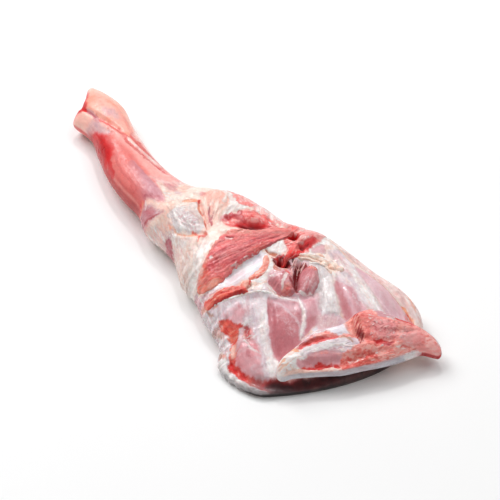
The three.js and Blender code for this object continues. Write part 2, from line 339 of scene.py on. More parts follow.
class Tissue(Enum):
    """The tissues of the leg, some of which are also laid on as painted shade or a painted highlight."""

    COVER = Finish((244, 226, 214), (232, 190, 178), 0.4, 14, 2, 0.3, 0.5)
    CREAM_FAT = Finish((250, 224, 212), (244, 200, 186), 0.4, 7, 1.5, 0.6, 0.5, 0.2, 0.4)
    BEIGE_FAT = Finish((240, 215, 204), (229, 192, 179), 0.45, 5, 1.6, 0.6, 0.7, 0.2, 0.6)
    WHITE_FAT = Finish((254, 246, 243), (244, 224, 219), 0.35, 4, 2, 0.7, 0.5, 0.2, 0.6)
    PEACH_FAT = Finish((252, 212, 196), (248, 194, 178), 0.45, 6, 2, 0.6, 0.5, 0.2, 0.5)
    PINK_FAT = Finish((248, 208, 203), (236, 178, 174), 0.45, 5, 2, 0.7, 0.4, 0.3, 0.6)
    YELLOW_FAT = Finish((255, 231, 217), (254, 209, 191), 0.4, 2.4, 1.5, 0.7, 0.3, 0.1, 0.2)
    LOBE_FAT = Finish((250, 186, 172), (253, 208, 194), 0.45, 6, 3, 0.7, 0.25, 0.3, 0.1)
    KNUCKLE = Finish((250, 162, 142), (253, 184, 166), 0.45, 9, 2, 0.5, 0.1)
    KNUCKLE_PALE = Finish((250, 186, 172), (252, 172, 160), 0.45, 7, 2, 0.6, 0.15)
    KNUCKLE_LOW = Finish((255, 202, 187), (255, 184, 169), 0.45, 8, 2, 0.4, 0.1)
    GREY_SINEW = Finish((222, 178, 180), (210, 164, 172), 0.4, 6, 2, 0.6, 0.15)
    SHANK = Finish((228, 122, 116), (220, 110, 106), 0.5, 9, 4, 0.6, 0.03, 0.12)
    SHANK_LIGHT = Finish((255, 184, 176), (255, 194, 186), 0.45, 8, 4, 0.6, 0.04, 0.12)
    # Painted shade: the darker red of the shank's near side and near wall.
    SHANK_SHADED = Finish((206, 88, 84), (194, 72, 70), 0.45, 8, 4, 0.3, 0.04, 0.12)
    # Deep red meat; also laid as painted shade on the knuckle's lower wall, in and round holes, and where the
    # rim runs into the gap under the flap.
    WEDGE = Finish((204, 18, 24), (214, 38, 38), 0.4, 6, 3, 0.35, 0.08, 0.15)
    # Painted shade: the dark red of the shank's near wall towards its foot.
    WALL_SHADE_RED = Finish((184, 52, 48), (160, 38, 38), 0.4, 5, 3, 0.05, 0.05, 0.12)
    # The tendon's white; also laid as a painted highlight of wet light on it.
    TENDON_AND_HIGHLIGHT = Finish((254, 240, 232), (252, 218, 208), 0.4, 5, 5, 0.9, 0.1)
    SILVER = Finish((206, 150, 158), (214, 172, 180), 0.5, 8, 3, 0.8, 0.08, 0.25)
    SHANK_SILVER = Finish((190, 128, 140), (203, 146, 156), 0.5, 9, 3, 0.4, 0.03, 0.1)
    WINDOW = Finish((198, 108, 116), (180, 86, 98), 0.5, 4, 3, 0.7, 0.1, 0.4, 0.2)
    FASCIA = Finish((226, 217, 217), (213, 201, 202), 0.45, 4, 3, 0.9, 0.25, 0.25, 0.5)
    MEMBRANE = Finish((240, 227, 231), (222, 201, 209), 0.4, 5, 3, 1.0, 0.2, 0.25, 0.45)
    BLUE_MEMBRANE = Finish((250, 244, 248), (236, 227, 235), 0.45, 5, 3, 1.0, 0.1, 0.25, 0.3)
    PINK_MEMBRANE = Finish((225, 169, 176), (233, 195, 202), 0.5, 4, 3.5, 0.9, 0.2, 0.3, 0.5)
    LOBE = Finish((244, 120, 116), (252, 166, 160), 0.45, 3, 3.5, 0.9, 0.6, 0.8, 0.2)
    PALE_LOBE = Finish((250, 170, 166), (254, 220, 216), 0.4, 3, 4, 0.9, 0.5, 0.7, 0.4)
    # Dark red; also laid as painted shade along creases and at the foot of raised pieces.
    MAROON_AND_CREASE_SHADE = Finish((170, 50, 58), (196, 86, 92), 0.4, 3, 3, 0.8, 0.4, 0.5, 0.1)
    # Painted shade: dark red laid in holes, slots, creases and hollows.
    DARK_SHADE = Finish((122, 10, 16), (92, 6, 12), 0.4, 4, 1, 0.1, 0.3)
    # Painted shade: near black laid in the deepest holes and in the gap under the flap.
    BLACK_SHADE = Finish((62, 8, 10), (42, 5, 8), 0.4, 4, 1, 0.0, 0.2)
    CUT_MUSCLE = Finish((230, 112, 112), (216, 92, 96), 0.45, 2.4, 12, 0.7, 0.2, 0.85, 0.06)
    CUT_LIGHT = Finish((248, 152, 146), (240, 132, 128), 0.45, 2.6, 8, 0.7, 0.2, 0.7, 0.1)
    CUT_EDGE = Finish((248, 170, 152), (242, 146, 130), 0.4, 3, 3, 0.8, 0.3, 0.5, 0.3)
    CUT_END = Finish((236, 98, 82), (244, 138, 116), 0.45, 3, 2.5, 0.8, 0.5, 0.8, 0.3)
    CURL = Finish((248, 118, 98), (236, 92, 80), 0.45, 3, 4, 0.9, 0.1, 0.4, 0.1)
    # Deep red; also laid as painted shade on the undersides of the curl's roll and the tongue, and in the
    # folds of the flap's lump.
    DEEP_RED_AND_SHADE = Finish((168, 18, 22), (190, 40, 38), 0.4, 3, 3, 0.8, 0.2, 0.4)
    SPIKE = Finish((240, 48, 50), (250, 86, 82), 0.45, 2.5, 5, 0.9, 0.15, 0.7)
    BLADE = Finish((206, 136, 142), (194, 120, 128), 0.5, 10, 2.5, 0.7, 0.06, 0.2, 0.06)
    BLADE_DEEP = Finish((194, 112, 119), (200, 124, 130), 0.4, 9, 2.5, 0.7, 0.06, 0.2, 0.03)
    BLADE_LIGHT = Finish((230, 184, 191), (220, 168, 177), 0.45, 6, 3, 0.8, 0.06, 0.2, 0.1)
    HEAD = Finish((200, 122, 128), (214, 148, 152), 0.45, 4, 3, 0.9, 0.1, 0.3, 0.1)
    # Painted shade: dark red in the slot between the two muscle heads.
    SLOT_SHADE_RED = Finish((140, 34, 40), (164, 62, 64), 0.4, 3, 3, 0.8, 0.2, 0.5)
    EXPOSED = Finish((234, 100, 84), (216, 70, 62), 0.45, 4, 1.5, 0.9, 0.3, 0.4, 0.1)
    PAD = Finish((224, 146, 152), (230, 168, 174), 0.5, 7, 3, 0.8, 0.1, 0.2, 0.05)
    RIM_RED = Finish((208, 46, 43), (222, 82, 72), 0.45, 3, 2.5, 0.6, 0.4, 0.5, 0.1)
    RIM_FAT = Finish((250, 242, 240), (236, 222, 220), 0.45, 5, 2, 0.6, 0.5, 0.1, 0.4)
    # Painted shade: the grey of the rim's outer wall, between its white and its near-black parts.
    RIM_GREY_SHADE = Finish((168, 160, 162), (146, 136, 138), 0.4, 9, 3, 0.4, 0.1)
    RIM_SHADE = Finish((20, 17, 18), (14, 12, 13), 0.4, 12, 3, 0.1, 0.1)
    EDGE_GREY = Finish((206, 203, 210), (190, 185, 193), 0.4, 9, 4, 0.6, 0.1)
    # Seams; also laid as painted shade on the rim under the flap and on the flap's underside.
    SEAM_AND_SHADE = Finish((190, 84, 66), (214, 134, 108), 0.45, 3, 2, 0.7, 0.1)
    # Brown lines; also laid as painted shade between the fat lumps over the pit.
    BROWN = Finish((170, 116, 98), (196, 146, 124), 0.45, 3, 2, 0.6, 0.1)
    ORANGE = Finish((244, 166, 128), (236, 132, 100), 0.45, 3, 2, 0.7, 0.1)
    SPOT = Finish((216, 54, 56), (230, 92, 88), 0.4, 2, 2, 0.8, 0.1)
    COARSE = Finish((240, 138, 130), (250, 176, 166), 0.5, 1.0, 2, 0.9, 0.35, 0.5, 0.1)
    COARSE_RED = Finish((220, 78, 70), (238, 118, 106), 0.5, 1.0, 2, 0.9, 0.35, 0.5, 0.1)
    COARSE_PALE = Finish((248, 166, 152), (251, 190, 177), 0.5, 1.2, 2.4, 0.9, 0.3, 0.5, 0.15)
    LUMP = Finish((252, 164, 156), (240, 134, 130), 0.5, 1.0, 1.6, 0.8, 0.4, 0.5, 0.05)
    TONGUE = Finish((246, 158, 153), (250, 182, 176), 0.45, 2.4, 2, 0.8, 0.3, 0.4, 0.1)


# How far an outline wanders from its table, and in lumps of what size, in millimetres: coarsely and finely.
WANDER = (1.0, 6.0)
FINE_WANDER = (0.5, 2.0)
# The largest number of a colour as the tables of tissues have it.
SCREEN_WHITE = 255
# How far apart the seeds of two tissues lie.
TISSUE_STEP = 7
# The size of the lumps that make an outline ragged and a streak uneven, in millimetres.
RAGGED_SIZE = 3.0
# Over how much of its level a mark that ends at a level fades, to each side.
LEVEL_FADE = 0.1
# How far a veil's threads bend, and how long and how wide the bends are, in times the distance between
# threads.
VEIL_BEND = 1.4
VEIL_BEND_LONG = 3.0
VEIL_BEND_WIDE = 4.0
# What the place of a veil's first corner adds to its seed, for each millimetre along X and along Y.
VEIL_STEP = (13, 7)
# The cover from which a place counts as under a veil.
COVERED = 0.05
# Over how much of its way a streak thins out at each end, and from where to where its edge fades, in
# millimetres.
STREAK_TAPER = 0.15
STREAK_EDGE = (-0.35, 0.55)
# How far from its line a streak can reach: in times its half width, and millimetres beyond that.
STREAK_REACH = (2.2, 0.6)


@dataclass(frozen=True)
class Weave:
    """The patterns that every tissue has along and across its strands, in millimetres.

    bend is how far a pattern bends, in waves of bend_long by bend_wide. One strand is strand_long by
    strand_wide; it bends strand_bend times as far, and the grain that the material sees grain_bend times.
    crumb is the size of the fine blotches. blend is how softly the tissue's two colours meet. crumb_tone and
    strand_tone say how much the blotches and the strands change the colour.
    """

    bend: float = 1.6
    bend_long: float = 22.0
    bend_wide: float = 9.0
    strand_long: float = 13.0
    strand_wide: float = 1.8
    strand_bend: float = 2.0
    grain_bend: float = 3.0
    crumb: float = 3.0
    blend: float = 0.15
    crumb_tone: float = 0.06
    strand_tone: float = 0.2


WEAVE = Weave()


@dataclass
class Canvas:
    """The places of one surface, and what has been laid on them.

    level is a place's height on its ring, from -1 underneath to 1 on top. colour is as a screen shows it,
    from 0 to 1. grain has the place along and across the strands, in millimetres, and their strength. lift is
    how far what has been laid on raises the surface, in millimetres. The shapes of marks are looked up at
    strayed places, which gives every outline the unevenness of torn and cut tissue. flat_x and flat_y are the
    places with the walls unrolled outwards onto the plan: all noise is looked up there, so that it isn't
    drawn out down the walls.
    """

    x: Array
    y: Array
    level: Array
    flat_x: Array
    flat_y: Array
    colour: Array = field(init=False)
    wet: Array = field(init=False)
    lumps: Array = field(init=False)
    threads: Array = field(init=False)
    lift: Array = field(init=False)
    grain: Array = field(init=False)
    strayed: tuple[Array, Array] = field(init=False)

    def __post_init__(self) -> None:
        """Starts with nothing laid on."""
        self.colour = np.ones((len(self.x), 3))
        self.wet, self.lumps, self.threads, self.lift = (np.zeros(len(self.x)) for _ in range(4))
        self.grain = np.zeros((len(self.x), 3))
        self.strayed = (self.x + self.stray(Seed.STRAY_X), self.y + self.stray(Seed.STRAY_Y))

    def stray(self, seed: int) -> Array:
        """How far each place strays along one axis: noise of two sizes."""
        return sum(
            far * 2 * (noise(self.flat_x / size, self.flat_y / size, seed + number, 2) - 0.5)
            for number, (far, size) in enumerate((WANDER, FINE_WANDER))
        )

    def astray(self, ragged: float) -> tuple[Array, Array]:
        """The places at which a mark is looked up: the more ragged its outline, the further they stray."""
        share = min(1.0, ragged)
        return self.x + (self.strayed[0] - self.x) * share, self.y + (self.strayed[1] - self.y) * share

    def grain_at(self, at: Array, turn: Turn) -> tuple[Array, Array]:
        """Places along and across the strands, in millimetres.

        Args:
            at: the indices of the places.
            turn: the direction of the strands, in degrees from +X, or the place that they all fan out from.

        Returns:
            The places along and across. In a fan they are the distance and the arc at the middle distance.
        """
        x, y = self.flat_x[at], self.flat_y[at]
        if not isinstance(turn, tuple):
            return turned(x, y, turn)
        dx, dy = x - turn[0], y - turn[1]
        away = np.hypot(dx, dy)
        middle = math.atan2(dy.mean(), dx.mean()) if len(x) else 0.0
        angle = np.arctan2(dy, dx) - middle
        return away, np.arctan2(np.sin(angle), np.cos(angle)) * (away.mean() if len(x) else 0.0)

    def lay(self, tissue: Tissue, at: Array, share: Array, turn: Turn, lift: float = 0.0) -> None:
        """Lays a tissue over some places.

        Args:
            tissue: which tissue.
            at: the indices of the places.
            share: how much of each place it covers, from 0 to 1.
            turn: the direction of its strands, in degrees from +X, or the place that they fan out from.
            lift: how far it raises the surface, in millimetres.
        """
        finish = tissue.value
        seed = Seed.TISSUE + TISSUE_STEP * list(Tissue).index(tissue)
        along, across = self.grain_at(at, turn)
        waves = noise(along / WEAVE.bend_long, across / WEAVE.bend_wide, seed + Further.BEND, 2) - 0.5
        bend = WEAVE.bend * waves
        pattern = noise(along / (finish.size * finish.stretch), across / finish.size + bend, seed)
        second = smoothstep(1 - WEAVE.blend - finish.share, 1 + WEAVE.blend - finish.share, pattern)
        bent = across + WEAVE.strand_bend * bend
        strands = noise(along / WEAVE.strand_long, bent / WEAVE.strand_wide, seed + Further.STRANDS, 2) - 0.5
        crumbs = noise(along / WEAVE.crumb, across / WEAVE.crumb, seed + Further.CRUMBS, 2) - 0.5
        tone = 1 + WEAVE.crumb_tone * crumbs + WEAVE.strand_tone * finish.fibres * strands
        first, other = np.array(finish.colour) / SCREEN_WHITE, np.array(finish.second) / SCREEN_WHITE
        colour = mix(first, other, second) * tone[:, None]
        self.colour[at] = mix(self.colour[at], colour, share)
        self.wet[at] += (finish.wet - self.wet[at]) * share
        self.lumps[at] += (finish.lumps - self.lumps[at]) * share
        self.threads[at] += (finish.threads - self.threads[at]) * share
        self.lift[at] += lift * share
        taken = share > 0.5
        self.grain[at[taken], 0] = along[taken]
        self.grain[at[taken], 1] = across[taken] + WEAVE.grain_bend * bend[taken]
        self.grain[at, 2] += (finish.fibres - self.grain[at, 2]) * share


@dataclass(frozen=True)
class Patch:
    """A patch of one tissue with a ragged outline.

    turn is the direction of its strands in degrees from +X, or the place they fan out from, cover how much of
    what is under it it hides, soft the width over which its edge fades, ragged how far noise moves the edge,
    and lift how far it raises the surface. It lies only where the level is from lowest to highest.
    """

    tissue: Tissue
    outline: Line
    turn: Turn = 0.0
    cover: float = 1.0
    soft: float = 1.6
    ragged: float = 0.8
    lift: float = 0.0
    lowest: float = -2.0
    highest: float = 2.0

    def share(self, canvas: Canvas) -> tuple[Array, Array]:
        """The indices of the places near the patch, and how much of each the patch covers."""
        outline = smooth_line(self.outline, closed=True)
        x, y = canvas.astray(self.ragged)
        at = close_by(x, y, outline, self.soft + self.ragged)
        place = canvas.flat_x[at] / RAGGED_SIZE, canvas.flat_y[at] / RAGGED_SIZE
        edge = 2 * self.ragged * (noise(*place, Seed.PATCH_EDGE, 2) - 0.5)
        depth = inside_depth(x[at], y[at], outline) + edge
        share = self.cover * smoothstep(-self.soft / 2, self.soft / 2, depth)
        level = canvas.level[at]
        share = share * smoothstep(self.lowest - LEVEL_FADE, self.lowest + LEVEL_FADE, level)
        return at, share * (1 - smoothstep(self.highest - LEVEL_FADE, self.highest + LEVEL_FADE, level))

    def lay_on(self, canvas: Canvas) -> None:
        """Lays the tissue where the depth inside the outline, moved by noise, is above 0."""
        at, share = self.share(canvas)
        canvas.lay(self.tissue, at, share, self.turn, self.lift)


@dataclass(frozen=True)
class Veil:
    """One tissue in threads or flecks over a patch.

    bed is the patch, whose tissue the threads are of. size is how far apart they lie in millimetres, stretch
    how many times longer than that they are, and share how much of the patch they take. Flecks are where
    noise is high and threads where it passes its middle. crisp is how far from that their edges fade.
    """

    bed: Patch
    size: float = 3.0
    stretch: float = 4.0
    share: float = 0.25
    threads: bool = True
    crisp: float = 0.07

    def lay_on(self, canvas: Canvas) -> None:
        """Lays the tissue where the noise is so high that only the given share of the places is higher."""
        at, cover = self.bed.share(canvas)
        if not len(at):
            return
        along, across = canvas.grain_at(at, self.bed.turn)
        corner = self.bed.outline[0]
        seed = Seed.LAYER + int(abs(corner[0]) * VEIL_STEP[0] + abs(corner[1]) * VEIL_STEP[1])
        long, wide = VEIL_BEND_LONG * self.size, VEIL_BEND_WIDE * self.size
        waves = noise(along / long, across / wide, seed + Further.THREADS, 2) - 0.5
        bend = VEIL_BEND * self.size * waves
        place = along / (self.size * self.stretch), (across + bend) / self.size
        pattern = noise(*place, seed, 3)
        if self.threads:
            pattern = 1 - np.abs(2 * pattern - 1)
        covered = cover > COVERED
        least = np.quantile(pattern[covered] if covered.any() else pattern, 1 - self.share)
        share = cover * smoothstep(least - self.crisp, least + self.crisp, pattern)
        canvas.lay(self.bed.tissue, at, share, self.bed.turn, self.bed.lift)


@dataclass(frozen=True)
class Streak:
    """A streak of one tissue along a line, as wide as twice its half width and thinner at the ends."""

    tissue: Tissue
    line: Line
    half: float
    cover: float = 1.0
    lift: float = 0.0
    ragged: float = 0.5

    def lay_on(self, canvas: Canvas) -> None:
        """Lays the tissue where the distance from the line is under the half width, which noise changes."""
        path = smooth_line(self.line)
        x, y = canvas.astray(self.ragged)
        at = close_by(x, y, path, self.half * STREAK_REACH[0] + STREAK_REACH[1])
        distance, way, _ = nearest(x[at], y[at], path)
        place = canvas.flat_x[at] / RAGGED_SIZE, canvas.flat_y[at] / RAGGED_SIZE
        thick = noise(*place, Seed.STREAK_WIDTH, 2) - 0.5
        wide = self.half * (1 + self.ragged * 2 * thick) * tapered(way, STREAK_TAPER)
        share = 1 - smoothstep(*STREAK_EDGE, distance - wide)
        step = path[-1] - path[0]
        canvas.lay(self.tissue, at, self.cover * share, math.degrees(math.atan2(step[1], step[0])), self.lift)


Marks = tuple[Patch | Veil | Streak, ...]


# Surfaces that are lofted over ribs


@dataclass(frozen=True)
class Rib:
    """One section of a lump: its near and far shoulder, and its crown, roundness, bow and underside."""

    near: tuple[float, float, float]
    far: tuple[float, float, float]
    crown: float = 0.0
    round: float = 1.0
    bow: float = 0.0
    under: float = 0.0


@dataclass(frozen=True)
class Mould:
    """How finely a lump is drawn and how its edges close, in millimetres.

    rows and columns count its rings and the places on each, and a crowding under 1 brings the last rings
    closer together. nose_at_start and nose_at_end are how long its blunt ends are, and sunk is how far its
    lower half reaches below the flat underside that cuts it off. Beyond torn_from along X, noise moves the
    near edge inwards by up to tear.
    """

    rows: int
    columns: int
    crowding: float
    nose_at_start: float
    nose_at_end: float
    sunk: float
    tear: float = 0.0
    torn_from: float = 0.0


# The share of a ring's columns that lie on the upper side, where the relief is.
UPPER_SHARE = 0.78
# How squarely an end closes: 2 would be an ellipse's nose, and more is blunter.
NOSE_SQUARENESS = 2.4
# Nearer the middle of its ring than this, in millimetres, a place isn't unrolled any further.
LEAST_AWAY = 1.0
# The size of the lumps of a torn edge, and the length over which the tear grows, in millimetres.
TEAR_SIZE = 4.0
TEAR_GROWTH = 20.0
# The size of the lumps that move the edges of a strip, in millimetres.
JAG_SIZE = 2.5


def nose(distance: Array, length: float) -> Array:
    """The share of its full size that a lump has at a distance from an end.

    With d the distance as a share of the length and n the squareness, it is 1 - (1 - d) to the power of n, to
    the power of 1 / n.
    """
    left = 1 - np.minimum(1, distance / length)
    return np.maximum(0, 1 - left**NOSE_SQUARENESS) ** (1 / NOSE_SQUARENESS)


def ring(
    columns: int, half_width: Array, half_height: Array, round_: Array, seam: bool
) -> tuple[Array, Array]:
    """Places on rings that start in the middle of the near wall, run over the top and come back underneath.

    A ring is a straight top with a quarter of an ellipse at each end, and the same below. Most of its places
    are above, evenly spaced.

    Args:
        columns: how many places a ring has.
        half_width: half the width of each ring, one row each.
        half_height: half the height of each ring.
        round_: the share of the half width that the curved ends take.
        seam: whether the last ring is a line, on which the top's places meet those of the underside.

    Returns:
        For each row and column, the place across, from -1 near to 1 far, and the level, from -1 to 1.
    """
    s = np.arange(columns)[None, :] / columns
    upper = s <= UPPER_SHARE
    way = np.where(upper, s / UPPER_SHARE, (1 - s) / (1 - UPPER_SHARE))
    way = np.repeat(way, len(half_width), axis=0)
    if seam:
        below = columns * (1 - UPPER_SHARE)
        way[-1] = np.where(upper[0], np.round(way[-1] * below) / below, way[-1])
    half_width, half_height, round_ = half_width[:, None], half_height[:, None], round_[:, None]
    arc = math.pi / 4 * (half_width * round_ + half_height)
    flat = 2 * half_width * (1 - round_)
    distance = way * (flat + 2 * arc)
    sign = np.where(upper, 1.0, -1.0)
    near = math.pi / 2 * np.clip(distance / arc, 0, 1)
    far = math.pi / 2 * np.clip((flat + 2 * arc - distance) / arc, 0, 1)
    middle = -1 + round_ + (distance - arc) / half_width
    across = np.where(distance < arc, -1 + round_ * (1 - np.cos(near)), middle)
    across = np.where(distance > arc + flat, 1 - round_ * (1 - np.cos(far)), across)
    level = sign * np.minimum(np.sin(near), np.sin(far))
    return across, level


@dataclass(frozen=True)
class Rough:
    """How uneven every surface is, in millimetres.

    Its lumps are large and small ones, the small by a share of the large ones' height. A strand is
    strand_long by strand_wide and at most strand_height high. All of it grows from nothing at the lower of
    two levels to its full height at the upper one.
    """

    large: float = 5.0
    small: float = 2.2
    small_share: float = 0.6
    strand_long: float = 16.0
    strand_wide: float = 2.0
    strand_height: float = 0.7
    levels: tuple[float, float] = (-0.4, 0.5)


ROUGH = Rough()


@dataclass
class Grid:
    """A closed surface of rings, with a place for each row and column and its level on its ring."""

    points: Array
    level: Array

    def canvas(self, tissue: Tissue, turn: Turn) -> Canvas:
        """A canvas over the places of the grid, with its walls unrolled, and one tissue laid all over it.

        Unrolled, a place lies further from the middle of its ring by 1 - level times half the ring's height.

        Args:
            tissue: what the lump is made of.
            turn: the direction of its strands, in degrees from +X, or the place that they fan out from.

        Returns:
            The canvas.
        """
        x, y, z = (self.points[..., axis] for axis in range(3))
        away_x, away_y = (value - value.mean(axis=1, keepdims=True) for value in (x, y))
        drop = (1 - self.level) * (z.max(axis=1, keepdims=True) - z.min(axis=1, keepdims=True)) / 2
        out = drop / np.maximum(np.hypot(away_x, away_y), LEAST_AWAY)
        canvas = Canvas(*(value.ravel() for value in (x, y, self.level, x + away_x * out, y + away_y * out)))
        canvas.lay(tissue, np.arange(x.size), np.ones(x.size), turn)
        return canvas

    def roughen(self, canvas: Canvas, seed: int) -> None:
        """Raises and lowers the upper side by each tissue's own lumps and strands and by what lies on it."""
        x, y = canvas.flat_x, canvas.flat_y
        small = noise(x / ROUGH.small, y / ROUGH.small, seed + Further.SMALL_LUMPS, 2) - 0.5
        lumps = noise(x / ROUGH.large, y / ROUGH.large, seed, 3) - 0.5 + ROUGH.small_share * small
        along, across, fibres = canvas.grain.T
        thin = across / ROUGH.strand_wide
        strands = noise(along / ROUGH.strand_long, thin, seed + Further.HIGH_STRANDS, 2) - 0.5
        upper = smoothstep(*ROUGH.levels, canvas.level)
        rise = (lumps * canvas.lumps + strands * fibres * ROUGH.strand_height + canvas.lift) * upper
        self.points[..., 2] += rise.reshape(self.level.shape)


def loft(ribs: tuple[Rib, ...], mould: Mould, relief: Relief) -> Grid:
    """A closed lump over its ribs, with its relief.

    The near and far shoulders, the crown, the roundness, the bow and the underside each run along the lump on
    a smooth curve through the ribs. A ring lies between its two shoulders, its top crowned by crown times 1 -
    across², and pushed along X by bow times the same. Both ends close like a blunt nose. Noise moves the near
    shoulders inwards where the mould has a tear. What lies under the underside is cut off flat.

    Args:
        ribs: the sections, from one end to the other.
        mould: how finely the lump is drawn and how its ends close.
        relief: what rises from its top.

    Returns:
        The closed surface.
    """
    v = np.linspace(0, 1, mould.rows + 1) ** mould.crowding
    near = spline(np.array([rib.near for rib in ribs], float), v)
    far = spline(np.array([rib.far for rib in ribs], float), v)
    trim = spline(np.array([(rib.crown, rib.round, rib.bow, rib.under) for rib in ribs], float), v)
    crown, round_, bow, under = (trim[:, i : i + 1] for i in range(4))
    side = (far - near)[:, :2] / np.hypot(*(far - near)[:, :2].T)[:, None]
    torn = mould.tear * smoothstep(mould.torn_from, mould.torn_from + TEAR_GROWTH, near[:, 0])
    torn = torn * noise(near[:, 0] / TEAR_SIZE, near[:, 1] / TEAR_SIZE, Seed.TORN_EDGE, 3)
    near[:, :2] += side * torn[:, None]
    middle = smooth_line(tuple(((r.near[0] + r.far[0]) / 2, (r.near[1] + r.far[1]) / 2) for r in ribs))
    length = np.hypot(*np.diff(middle, axis=0).T).sum()
    start_share = nose(v * length, mould.nose_at_start)[:, None]
    end_share = nose((1 - v) * length, mould.nose_at_end)[:, None]
    half_width = np.hypot(*(far - near)[:, :2].T) / 2
    half_height = ((near[:, 2] + far[:, 2]) / 2 - under[:, 0]) / 2
    across, level = ring(mould.columns, half_width, half_height, np.minimum(1, round_[:, 0]), seam=True)
    across = across * start_share
    share, vault = (across + 1) / 2, 1 - across * across
    x = near[:, 0:1] + (far - near)[:, 0:1] * share + bow * vault
    y = near[:, 1:2] + (far - near)[:, 1:2] * share
    level = level * start_share * end_share
    top = near[:, 2:3] + (far - near)[:, 2:3] * share + crown * vault
    low = under - mould.sunk
    rise = rise_of(relief, x.ravel(), y.ravel()).reshape(x.shape)
    z = low + (top + rise * np.maximum(0, level) - low) * (level + 1) / 2
    return Grid(np.stack([x, y, np.maximum(under, z)], axis=-1), level)


class Ground:
    """The height of the leg's upper side at any place of the plan, on a raster of square cells.

    cell is the side of a cell and margin how far the raster goes beyond the leg, in millimetres. passes is
    how many times the empty cells are filled from their neighbours. A place is looked up at least last cells
    before the raster's end, so that it has a cell beyond it.
    """

    cell = 1.0
    margin = 4.0
    passes = 6
    last = 1.001

    def __init__(self, grid: Grid) -> None:
        """Takes the highest point in each cell, and fills a cell that has none from its neighbours."""
        points = grid.points.reshape(-1, 3)[grid.level.ravel() > 0]
        self.low = points[:, :2].min(0) - self.margin
        counts = ((points[:, :2].max(0) + self.margin - self.low) / self.cell).astype(int) + 1
        place = ((points[:, :2] - self.low) / self.cell).astype(int)
        height = np.full(counts, -np.inf)
        np.maximum.at(height, (place[:, 0], place[:, 1]), points[:, 2])
        for _ in range(self.passes):
            padded = np.pad(height, 1, constant_values=-np.inf)
            shifts = [(i, j) for i in range(3) for j in range(3)]
            stack = np.array([padded[i : i + counts[0], j : j + counts[1]] for i, j in shifts])
            known = np.isfinite(stack)
            mean = np.where(known, stack, 0).sum(0) / np.maximum(known.sum(0), 1)
            height = np.where(np.isfinite(height), height, np.where(known.any(0), mean, -np.inf))
        self.height = np.where(np.isfinite(height), height, 0)

    def at(self, x: Array, y: Array) -> Array:
        """The height at each place, between the middles of the four nearest cells."""
        px = np.clip((x - self.low[0]) / self.cell - 0.5, 0, self.height.shape[0] - self.last)
        py = np.clip((y - self.low[1]) / self.cell - 0.5, 0, self.height.shape[1] - self.last)
        ix, iy = px.astype(int), py.astype(int)
        fx, fy = px - ix, py - iy
        near = self.height[ix, iy] * (1 - fx) + self.height[ix + 1, iy] * fx
        far = self.height[ix, iy + 1] * (1 - fx) + self.height[ix + 1, iy + 1] * fx
        return near * (1 - fy) + far * fy


@dataclass(frozen=True)
class Strip:
    """A flat strip of tissue that lies on the leg between two edges.

    near and far are its edges on the plan, from one end to the other. heights says how far its top lies over
    the leg, at even steps along it, crown what its middle adds, round the share of its half width that its
    edges curve over, sunk how deep it reaches into the leg, jag how far noise moves its edges, and blunt how
    long its two blunt ends are. rows and columns count its rings and the places on each.
    """

    near: Line
    far: Line
    heights: tuple[float, ...]
    crown: float = 0.5
    round: float = 0.25
    sunk: float = 3.0
    jag: float = 0.4
    rows: int = 120
    columns: int = 45
    blunt: float = 3.0

    def jagged(self, edge: Array, seed: int) -> Array:
        """How far noise moves each place of an edge, up to jag to either side."""
        return self.jag * (noise(edge[:, 0] / JAG_SIZE, edge[:, 1] / JAG_SIZE, seed) - 0.5)[:, None] * 2

    def grid(self, ground: Ground, relief: Relief = ()) -> Grid:
        """Its closed surface: a ring between the two edges at each step, around the leg's height."""
        v = np.linspace(0, 1, self.rows + 1)
        near, far = spline(np.array(self.near, float), v), spline(np.array(self.far, float), v)
        height = spline(np.array(self.heights, float)[:, None], v)
        length = np.hypot(*np.diff((near + far) / 2, axis=0).T).sum()
        start_share = nose(v * length, self.blunt)[:, None]
        end_share = nose((1 - v) * length, self.blunt)[:, None]
        side = (far - near) / np.maximum(np.hypot(*(far - near).T), SMALLEST)[:, None]
        near = near + side * self.jagged(near, Seed.STRIP_NEAR)
        far = far + side * self.jagged(far, Seed.STRIP_FAR)
        half_width = np.hypot(*(far - near).T) / 2
        half_height = (height[:, 0] + self.sunk) / 2
        across, level = ring(self.columns, half_width, half_height, np.full(len(v), self.round), seam=True)
        across = across * start_share
        share, vault = (across + 1) / 2, 1 - across * across
        x = near[:, 0:1] + (far - near)[:, 0:1] * share
        y = near[:, 1:2] + (far - near)[:, 1:2] * share
        level = level * start_share * end_share
        floor = ground.at(x.ravel(), y.ravel()).reshape(x.shape)
        rise = rise_of(relief, x.ravel(), y.ravel()).reshape(x.shape)
        top = height + self.crown * vault + rise
        z = floor - self.sunk + (top + self.sunk) * (level + 1) / 2
        return Grid(np.stack([x, y, z], axis=-1), level)


# How a strand is shaped where its own table doesn't say otherwise.
STRAND = {"crown": 0.2, "round": 0.9, "sunk": 1.5, "jag": 0.3, "rows": 60, "columns": 24}
# How wide a strand still is at its two ends, as a share of its full width, and the share of its way it thins
# over.
STRAND_END = 0.45
STRAND_TAPER = 0.25


def strand(line: Line, half: float, heights: tuple[float, ...], **more: float) -> Strip:
    """A strip of one half width along a line, thinner at its two ends.

    Args:
        line: its middle on the plan.
        half: its half width, in millimetres.
        heights: how far its top lies over the leg, from one end to the other.
        **more: what else of the strip differs from the usual strand.

    Returns:
        The strip.
    """
    path = smooth_line(line, steps=3)
    step = np.gradient(path, axis=0)
    side = np.stack([-step[:, 1], step[:, 0]], axis=1) / np.hypot(*step.T)[:, None]
    way = np.linspace(0, 1, len(path))
    full = np.minimum(1, np.minimum(way, 1 - way) / STRAND_TAPER)
    wide = half * (STRAND_END + (1 - STRAND_END) * full)[:, None]
    left = tuple(map(tuple, (path + side * wide)))
    right = tuple(map(tuple, (path - side * wide)))
    return Strip(right, left, heights, **{**STRAND, **more})


# Meshes

# Places that agree to so many decimals of a millimetre are one vertex.
WELD_DECIMALS = 4


